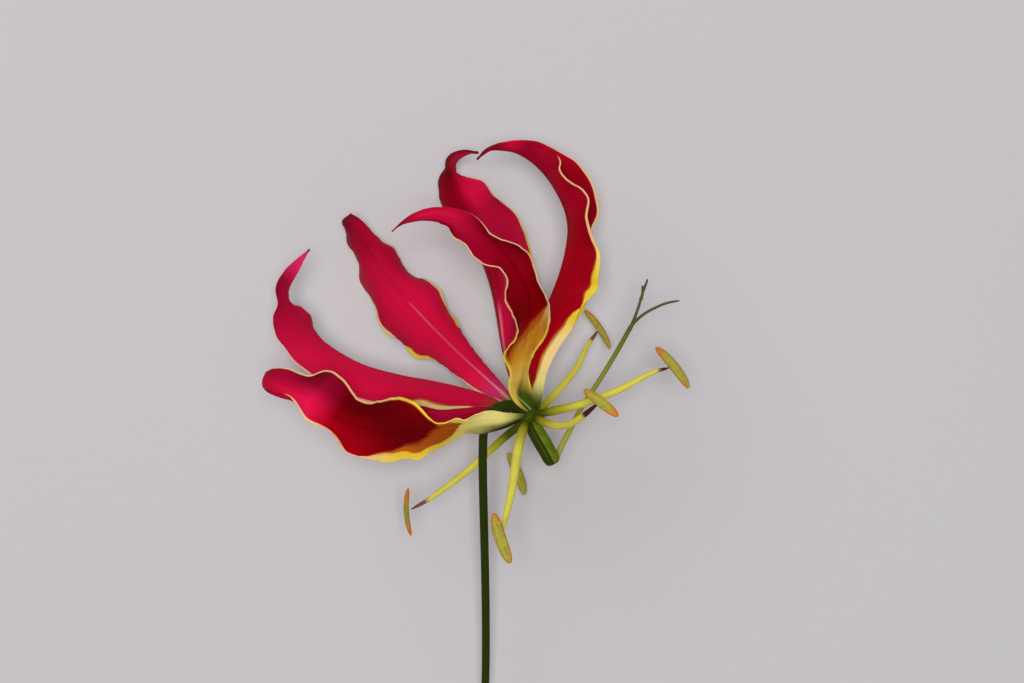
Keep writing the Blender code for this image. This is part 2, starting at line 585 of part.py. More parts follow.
def build_style():
    """The style and its spreading arms, as one piece."""
    style = add_object("style", round_sweep(STYLE_LINE, STYLE_RADII, STYLE_ROWS, STYLE_SIDES), GREEN)
    arms = [
        add_object("arm", round_sweep(line, ARM_RADII, rows, ARM_SIDES), GREEN)
        for line, rows in zip(STYLE_ARMS, ARM_ROWS)
    ]
    join_solids(style, arms)


def build():
    """The whole flower."""
    for thing in list(bpy.data.objects):
        bpy.data.objects.remove(thing)
    for letter, tepal in TEPALS.items():
        add_object("tepal_" + letter.lower(), tepal_body(tepal), CRIMSON, 0.45)
    for number, stamen in STAMENS.items():
        add_object("filament_%d" % number, filament_body(stamen), YELLOW_GREEN)
        add_object("anther_%d" % number, anther_body(stamen), OLIVE, 0.7)
    add_object("stem", stem_body(), DARK_GREEN)
    add_object("ovary", round_sweep(OVARY_LINE, OVARY_RADII, OVARY_ROWS, OVARY_SIDES), GREEN)
    build_style()


build()
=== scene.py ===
# Flame lily bloom on a cut stem, laid down on a pale floor and seen from straight above.
# Shape tables are in millimetres from the hub of the flower: x to the right, y towards the tepal tips,
# z up. x and y are as they look from EYE, and z is the true height over the hub. in_space() turns them
# into true places.

import bmesh
import bpy
import numpy as np
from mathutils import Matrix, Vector


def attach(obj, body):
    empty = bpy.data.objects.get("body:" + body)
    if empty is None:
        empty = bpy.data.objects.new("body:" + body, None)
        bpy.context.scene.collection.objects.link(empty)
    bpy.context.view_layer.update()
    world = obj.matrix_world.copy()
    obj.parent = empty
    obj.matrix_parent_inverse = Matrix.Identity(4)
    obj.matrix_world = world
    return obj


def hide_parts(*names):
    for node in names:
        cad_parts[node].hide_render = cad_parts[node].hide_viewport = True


bl_info = {
    "name": "Flame Lily Bloom",
    "version": (1, 0, 0),
    "blender": (4, 5, 0),
    "location": "3D View > Sidebar > Flame Lily",
    "description": "Makes a flame lily bloom on a cut stem, piece by piece",
    "category": "Add Mesh",
}

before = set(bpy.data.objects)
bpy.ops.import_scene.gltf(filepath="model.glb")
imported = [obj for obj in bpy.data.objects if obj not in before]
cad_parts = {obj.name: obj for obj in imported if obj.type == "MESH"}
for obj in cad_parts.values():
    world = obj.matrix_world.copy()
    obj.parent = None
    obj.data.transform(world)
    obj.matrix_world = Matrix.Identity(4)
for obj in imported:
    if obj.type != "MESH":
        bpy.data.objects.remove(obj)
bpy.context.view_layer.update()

MM = 0.001
HUB_PLACE = (11.4, 25.75, 41.08)
EYE = (-3.6, 17.2, 600.0)

# Curves: how finely they are read. Points closer than MERGE_REACH metres are one.
CURVE_STEPS = 60
FINE_POINTS = 400
LEAST_LENGTH = 1e-9
MERGE_REACH = 1e-6

# Tepals: their grid, and how a point of an edge finds its place beside the middle line.
TEPAL_ROWS = 170
TEPAL_HALF_COLUMNS = 24
COLUMN_CROWDING = 0.8
STRAY_SHARE = 0.1
STRAY_COST = 400
OWN_PLACE_POWER = 6
PLACE_SMOOTHING = 12
EDGE_SMOOTHING = 2
LEAST_STEP = 1e-6

# Tepals: thickness and rounded edge.
MIDRIB_THICKNESS = 0.56
EDGE_THICKNESS = 0.24
THINNED_WIDTH = 5
RIM_BULGE = 0.3
RIM_INWARD = 2

# Tepals: fold, belly, ruffles and groove. The ends are the shares of the length over which something fades
# in at the root and out at the tip. Crinkles are (waves along the tepal, start, height).
TEPAL_TIP_HALF_WIDTH = 0.3
TEPAL_BELLY = 1.3
BELLY_WIDTH = 8
FLAT_ROOT = 0.07
FLAT_TIP = 0.1
NARROW_WIDTH = 2
NARROW_FADE = 3
RUFFLE_REACH = 2.4
RUFFLE_SPAN = 0.085
CRINKLES = [(21, 0.3, 0.07), (34, 1.7, 0.045), (55, 4.1, 0.02)]
CRINKLE_ENDS = (0.25, 0.15)
CRINKLE_REACH = 5
MIDRIB_DEPTH = 0.16
MIDRIB_HALF_WIDTH = 0.45
MIDRIB_ENDS = (0.1, 0.3)

# Stalks: how far the colours at their ends reach, in millimetres, how many points each has along it, and its
# radii as (share of the length, millimetres).
RECEPTACLE_LENGTH = 5.0
CUT_LENGTH = 0.25
STYLE_FADE = 46.0
ARM_FADE = 6.0
ARM_TIP = 1.0
STEM_POINTS = 420
FILAMENT_POINTS = 90
STYLE_POINTS = 160
ARM_POINTS = 60
FILAMENT_RADII = [
    (0, 0.85), (0.12, 0.92), (0.5, 0.8), (0.78, 0.62), (0.88, 0.46), (0.94, 0.34), (0.975, 0.16), (1, 0.14),
]
GIRTH_REACH = 0.1
STYLE_RADII = [(0, 0.8), (0.1, 0.72), (0.4, 0.62), (1, 0.56)]
ARM_RADII = [(0, 0.46), (0.3, 0.36), (0.9, 0.3), (0.97, 0.22), (1, 0.1)]
STEM_RADII = [
    (0, 1.6), (0.003, 2.3), (0.009, 2.8), (0.02, 2.8), (0.03, 2.2), (0.04, 1.7), (0.055, 1.45), (0.085, 1.2),
    (0.115, 1.05), (0.6, 0.98), (0.985, 1.02), (0.997, 1.02), (1, 0.92),
]
OVARY_RADII = [
    (0, 1.2), (0.1, 1.8), (0.25, 2.0), (0.5, 2.05), (0.85, 2.0), (0.94, 1.8), (0.98, 1.4), (1, 0.8),
]

# Ovary: its grid, how it is turned, and its three cells, with grooves between them.
OVARY_ROWS = 60
OVARY_SIDES = 60
OVARY_TURN = 1.0
OVARY_START = (0.3, 0.2, 0.93)
CELL_BULGE = 0.06
GROOVE_DEPTH = 0.2
GROOVE_WIDTH = 0.06
# Where the painted shade on one side of the ovary starts, and the width over which it comes in.
SHADED_SIDE = 0.3

# Anthers: their grid, form and seams, how deep a filament ends in them, and how thick the pollen lies.
ANTHER_ROWS = 56
ANTHER_SIDES = 44
ANTHER_THICKNESS = 1.3
ANTHER_SAG = 0.8
ANTHER_FULLNESS = 3.0
ANTHER_GRIP = 0.7
SEAM_WIDTH = 0.02
SEAM_DEPTH = 0.1
POLLEN_END_FROM = 0.3
POLLEN_END_FADE = 0.6
POLLEN_EDGE_FROM = 0.62
POLLEN_EDGE_FADE = 0.3
POLLEN_ALL_ALONG = 0.16
POLLEN_ON_EDGES = 0.9
POLLEN_ON_ENDS = 0.7
GRAIN_SIZES = (0.6, 1.15)

# Each tepal: its middle line from the hub to the tip, then its two waved edges.
# Front left tepal, its inner face turned up, the tip curled under.
TEPAL_A = {
    "middle": [
        (-1, -0.6, 2.2), (-6, -1.8, 5), (-12, -2.3, 8.6), (-18, -3.2, 11.2), (-25, -4.4, 13.6),
        (-32, -4.8, 16.2), (-40, -3.6, 19.4), (-48, -0.2, 22.8), (-55, 5, 25), (-60.6, 7.4, 24.4),
        (-63.5, 7.2, 21.5), (-62.4, 6.4, 18.6), (-59, 4.5, 17.2), (-56, 3, 16.6),
    ],
    "left": [
        (-0.3, -0.2, 2.6), (-5.3, 0.1, 5.6), (-8.9, 0.6, 8), (-12.5, -0.4, 10.8), (-14.9, -1.8, 13.2),
        (-16.9, -1.2, 13), (-20.6, -2.7, 16), (-23.3, -1.4, 17.5), (-26.4, 2.2, 18.5), (-30.5, 3.8, 20.5),
        (-35.3, 2.9, 23.5), (-38.4, 2.4, 25.5), (-40.8, 3.6, 26), (-43.4, 7.4, 26), (-46.8, 10.1, 27),
        (-49.7, 10, 29), (-52.3, 8.7, 30), (-54.4, 9.4, 29), (-56.6, 10.6, 27.5), (-60.1, 10.9, 25),
        (-62.8, 9.6, 21.5), (-61.5, 8, 18.6), (-58.6, 5.9, 17.2), (-56, 3, 16.6),
    ],
    "right": [
        (-1.8, -1.9, 1.7), (-3.6, -2.9, 3), (-5.3, -3.6, 4.4), (-8.9, -4.6, 6.5), (-11.8, -5, 8.2),
        (-14.2, -4.7, 10.5), (-16.6, -5.9, 10), (-19.2, -7.4, 11), (-23.3, -9.4, 13), (-26, -11.2, 14),
        (-29.4, -10.8, 15.4), (-32.6, -11.8, 17), (-35.8, -11.5, 18.5), (-38.6, -10.8, 19.5),
        (-43.4, -9.4, 20.5), (-46.6, -5, 24), (-49.7, -3.1, 25), (-52.8, -1.9, 24.5), (-54.6, 0.8, 25),
        (-56, 3.2, 25.5), (-58.3, 4.7, 24.8), (-61, 5.2, 23.5), (-63.1, 6.1, 21), (-62.2, 5, 18.6),
        (-58.8, 3.6, 17.2), (-56, 3, 16.6),
    ],
}

# Left tepal, seen from its side, behind the first.
TEPAL_B = {
    "middle": [
        (-2.2, -1.2, 0), (-5.2, 1.6, -0.5), (-8.9, 3.7, -1), (-16.1, 5.9, -2), (-23.3, 7.5, -3),
        (-30.5, 8.8, -4), (-40.1, 11.6, -5), (-48.3, 16.4, -5.8), (-51.5, 19.3, -6), (-54.3, 22.3, -6.2),
        (-56.8, 25.6, -6.2), (-58.2, 28.5, -6), (-58, 31.5, -5.8), (-56.6, 34.4, -5.4), (-54.8, 36.8, -5),
        (-52.2, 39.3, -4.5),
    ],
    "left": [
        (-2.2, -1.2, 1.1), (-5.2, 0.8, 1), (-9, 1.7, 1.2), (-16.3, 1.2, 1.6), (-21, 0.9, 1.9),
        (-26, 1.9, 2.2), (-33, 1.6, 2), (-42, 3.6, 0.9), (-50, 7.5, -0.2), (-53, 10, -1.2),
        (-56.2, 12.7, -1.6), (-58, 15.7, -1.4), (-60.1, 18.4, -2.2), (-60.9, 21.8, -2.4),
        (-60.9, 23.6, -3), (-59.6, 26.4, -4), (-60.4, 29, -4.6), (-60, 31.2, -4.4), (-58.4, 33.9, -4.2),
        (-55.7, 36.6, -4.2), (-52.2, 39.3, -4.5),
    ],
    "right": [
        (-2.2, -1.2, -1.1), (-5.2, -0.6, -2), (-9, -1.6, -3.2), (-16, -2.6, -5), (-21, -2.5, -6.2),
        (-26, -1.8, -7.4), (-34, 0.4, -9), (-42, 5.5, -10.6), (-48, 12, -11.6), (-51.4, 17.6, -11.4),
        (-51.5, 22.2, -10.8), (-52.8, 24.3, -10.2), (-54.7, 25.7, -9), (-57, 26, -8), (-57.3, 28.6, -7.2),
        (-56.8, 30.6, -7), (-54.9, 33.9, -6.4), (-53.6, 36.6, -5.6), (-52.2, 39.3, -4.5),
    ],
}

# Back left tepal, its outer face up; it rests on the floor.
TEPAL_C = {
    "middle": [
        (-1, -0.6, -2.2), (-4.8, 3.8, -7), (-10.1, 8.6, -14.5), (-17.3, 15.3, -23.5),
        (-24.5, 22.6, -29.5), (-31.7, 30.5, -32.5), (-37.3, 38.2, -31), (-41.4, 45, -25),
        (-42.3, 47.8, -20.5),
    ],
    "left": [
        (-1.8, -1.1, -1.7), (-7, 2.6, -8.5), (-11.8, 5.1, -15.5), (-16.1, 8.3, -22.5),
        (-20.6, 11.9, -28.5), (-23.4, 13.2, -32), (-26.2, 13, -34), (-28.3, 14.7, -34.6),
        (-30.2, 17.4, -35.5), (-33.5, 18.9, -38.5), (-35.6, 21.3, -38.5), (-36.2, 24.5, -38),
        (-37.6, 28.1, -39), (-39.5, 30.3, -40.7), (-40.3, 33.2, -39.4), (-40.2, 35.8, -36.5),
        (-41.6, 38.6, -34.5), (-43.2, 41, -32.5), (-43.3, 43.4, -29.5), (-44.4, 46.1, -24.5),
        (-42.3, 47.8, -20.5),
    ],
    "right": [
        (-0.3, -0.2, -2.6), (-4.6, 5.6, -9), (-8.4, 9.8, -16.5), (-13.3, 15.8, -24.5), (-15.9, 19.8, -29),
        (-16.9, 22.2, -31.5), (-19, 24.6, -33.5), (-19.9, 27.2, -34.5), (-20.7, 29.4, -36),
        (-22.3, 31, -37.5), (-24.8, 32.2, -38.3), (-27.6, 32.8, -38), (-29.6, 35.2, -37.5),
        (-30.9, 37.5, -36.5), (-31.6, 39.5, -36.5), (-34, 40.8, -34.5), (-37, 43.3, -30.5),
        (-38.6, 45.2, -27), (-40.7, 47, -23), (-42.3, 47.8, -20.5),
    ],
}

# Front middle tepal, its hollow inner face up, the tip swept to the left.
TEPAL_D = {
    "middle": [
        (1, 0.6, 2.2), (-1.4, 4.8, 6), (-0.8, 10, 9.8), (-0.4, 16, 13.8), (0.6, 22, 17.4),
        (0.4, 28, 21.4), (-2.2, 34, 24.8), (-6.4, 39.6, 27), (-12.2, 44.5, 28), (-19, 47.3, 28),
        (-25, 47.3, 27), (-32.4, 43.6, 25.5),
    ],
    "left": [
        (0.3, 0.2, 2.6), (-2.6, 2.2, 5.4), (-4.1, 4.6, 8), (-4.5, 7, 10.4), (-4, 9, 12.2), (-4.5, 11, 14),
        (-5.7, 13, 16), (-5, 15.2, 18.5), (-2.9, 17.4, 21.5), (-2.2, 19.8, 24), (-3.4, 23.5, 27.5),
        (-5.3, 27.4, 29.5), (-4.6, 31.8, 33), (-6.2, 34.7, 34), (-10.5, 35.8, 33.5), (-13.4, 38.4, 34.5),
        (-14.8, 40.6, 33), (-17.8, 42.2, 30), (-18.8, 44.6, 31), (-22.8, 46.2, 30.5), (-28.1, 46.2, 28.5),
        (-30.7, 45, 27), (-32.4, 43.6, 25.5),
    ],
    "right": [
        (1.8, 1.1, 1.7), (1.1, 5.6, 4.5), (0.2, 9.8, 7.8), (0.7, 12, 9.6), (2.1, 15, 12.5),
        (4.2, 17.9, 15.8), (5.3, 21.2, 20), (5.5, 24.5, 22.5), (4.8, 27.6, 25.5), (3.2, 30.4, 27.5),
        (2.2, 33.2, 28), (1.1, 37.2, 29), (-1, 39.6, 31), (-3.9, 41, 32), (-8.1, 42.4, 32),
        (-10.6, 45.3, 31), (-12.9, 47.6, 29.5), (-18.5, 49.3, 28.5), (-24.6, 49, 27.5), (-29, 46.8, 26.5),
        (-32.4, 43.6, 25.5),
    ],
}

# Back right tepal, its outer face up; it rests on the floor.
TEPAL_E = {
    "middle": [
        (1, 0.6, -2.2), (-2.2, 4, -7.2), (-4.3, 10, -14.5), (-5.5, 16.5, -21.5), (-6.4, 24, -27.5),
        (-7.3, 30, -31), (-8.8, 36.5, -33), (-11, 43, -33.5), (-13.8, 49.5, -32), (-17.2, 56.5, -28.5),
        (-18.5, 60, -25), (-17.2, 62.1, -21), (-14.5, 62.7, -17.5), (-11.7, 62.5, -15),
    ],
    "left": [
        (0.3, 0.2, -2.6), (-2.8, 4.6, -8.6), (-4.8, 10.6, -16.8), (-6.1, 16.6, -24.8), (-7.2, 24, -32),
        (-8.5, 30, -36), (-11.2, 37, -38), (-16, 44.5, -38), (-20.4, 49.8, -36), (-21.1, 53.3, -34),
        (-21.3, 55.8, -32.5), (-19.6, 59, -28.5), (-19.4, 61, -25), (-17.6, 62.6, -21.5),
        (-14.5, 63.2, -18), (-11.7, 62.5, -15),
    ],
    "right": [
        (1.8, 1.1, -1.7), (0.2, 4.2, -6.6), (-1.2, 9.6, -13.8), (0, 16.5, -22), (1.4, 24, -30.5),
        (2.2, 29.5, -36), (1.8, 34.6, -39.8), (0.8, 39.1, -40.7), (-0.2, 42.4, -39.8),
        (-1.3, 45.3, -38.5), (-2.5, 47.6, -37.5), (-4.8, 49.8, -36.5), (-8.2, 52.3, -35.5),
        (-9.5, 54.4, -34.5), (-11, 55.8, -33), (-14.2, 56.5, -30.5), (-16.6, 57.5, -27.5),
        (-17.1, 59.3, -24.5), (-16.3, 60.8, -21), (-14, 62.1, -17.4), (-11.7, 62.5, -15),
    ],
}

# Right tepal, the tallest arch, seen from its side.
TEPAL_F = {
    "middle": [
        (2, 1.3, 0), (1.2, 5.6, -0.5), (0.8, 11, -1), (2.2, 18, -1.5), (5.4, 26.4, -2), (8, 33.1, -2),
        (9.6, 39.2, -2), (10.1, 44.4, -2), (9.4, 48.5, -2), (7.6, 52.6, -2), (4.8, 56.9, -2),
        (0.9, 60.7, -2), (-3, 62.7, -2), (-6.2, 63.1, -2), (-9.5, 62.6, -1.8), (-12, 60.9, -1.5),
    ],
    "left": [
        (2.8, 0.9, 1.1), (3.5, 3, 1.2), (3.9, 5.4, 1.3), (4.7, 9.4, 1.8), (6.5, 13.6, 2.2),
        (8.5, 16.9, 2.6), (11, 20.6, 2.4), (12.2, 24, 3.8), (14.7, 27.4, 3), (16.9, 29.6, 2.4),
        (17, 32.6, 4), (17.4, 34.9, 4.6), (17.5, 38.4, 3.4), (16.2, 41.3, 4.4), (15.2, 43.8, 5.4),
        (14.4, 48, 5.6), (15, 51.3, 4), (13.1, 54, 4), (9.8, 55.9, 5.2), (7.9, 58.4, 4.6), (8, 61, 3),
        (4.6, 63.2, 2), (-1, 63.9, 1), (-4.2, 63.6, 0), (-8.2, 63.3, -1), (-12, 60.9, -1.5),
    ],
    "right": [
        (1.2, 1.4, -1.1), (0.9, 4.5, -1.8), (1.3, 8.5, -2.8), (3.4, 12.5, -4.2), (7, 16.5, -5.8),
        (10.6, 20.5, -7), (13.6, 25, -7.4), (15.4, 30, -8.8), (16.2, 35, -8.4), (15.4, 40, -9),
        (15.8, 44.3, -8), (17.1, 47, -8), (17.4, 49, -8.6), (16.8, 51.6, -8.4), (16, 54.7, -7.2),
        (14.4, 57.3, -7.6), (11.9, 60.4, -7.8), (9.5, 61.9, -7), (5.9, 63.7, -6.8), (2.6, 65.1, -6.2),
        (-1, 65.5, -5.2), (-4.8, 65.2, -4.4), (-8.1, 64.3, -3.4), (-10.2, 63.2, -2.4), (-12, 60.9, -1.5),
    ],
}

TEPALS = {"A": TEPAL_A, "B": TEPAL_B, "C": TEPAL_C, "D": TEPAL_D, "E": TEPAL_E, "F": TEPAL_F}

# Painting of the tepals. A table's value holds before its first place and after its last.
# Each face has "left" and "right", its bands beside those edges, as (share of the length, width of the
# yellow, width of the orange beyond it) in millimetres; "pink_and_highlight", how pink its red is, partly
# the tepal's own pink and partly a painted highlight, and "light", painted light and shade on its red, as
# (share, value); and "rib", the line along its middle, as (share, how pale, half its width in millimetres),
# where a value below 0 makes the line dark.
INNER_BAND = [(0, 5, 1), (0.3, 2.4, 1), (0.45, 1, 0.5), (0.6, 0.5, 0.3), (0.85, 0.3, 0.2), (0.95, 0, 0)]
OUTER_BAND = [(0, 1.6, 0.6), (0.3, 0.8, 0.4), (0.7, 0.3, 0.2), (0.9, 0, 0)]
NO_BAND = [(0, 0.2, 0.1), (0.5, 0.1, 0.1), (1, 0, 0)]
# EVEN_LIGHT and ARCH_LIGHT are painted light and shade on the red, the same all along or changing along an
# arched tepal.
EVEN_LIGHT = [(0, 0.8)]
ARCH_LIGHT = [(0.3, 1), (0.45, 0.95), (0.6, 0.92), (0.75, 0.9), (0.85, 1), (0.92, 0.8), (1, 0.35)]
NO_RIB = [(0, 0, 0.4)]
NO_SHIFT = [(0, 0)]
INNER = {
    "left": INNER_BAND, "right": INNER_BAND, "pink_and_highlight": [(0, 0.1), (0.5, 0.15), (0.8, 0.5), (1, 0.7)],
    "light": EVEN_LIGHT, "rib": [(0.4, 0, 0.4), (0.75, -0.5, 0.4), (1, -0.3, 0.4)],
}
OUTER = {
    "left": OUTER_BAND, "right": OUTER_BAND, "pink_and_highlight": [(0, 1), (0.3, 0.9), (1, 0.8)],
    "light": EVEN_LIGHT, "rib": [(0.3, 0.8, 0.4), (0.6, 0, 0.4)],
}
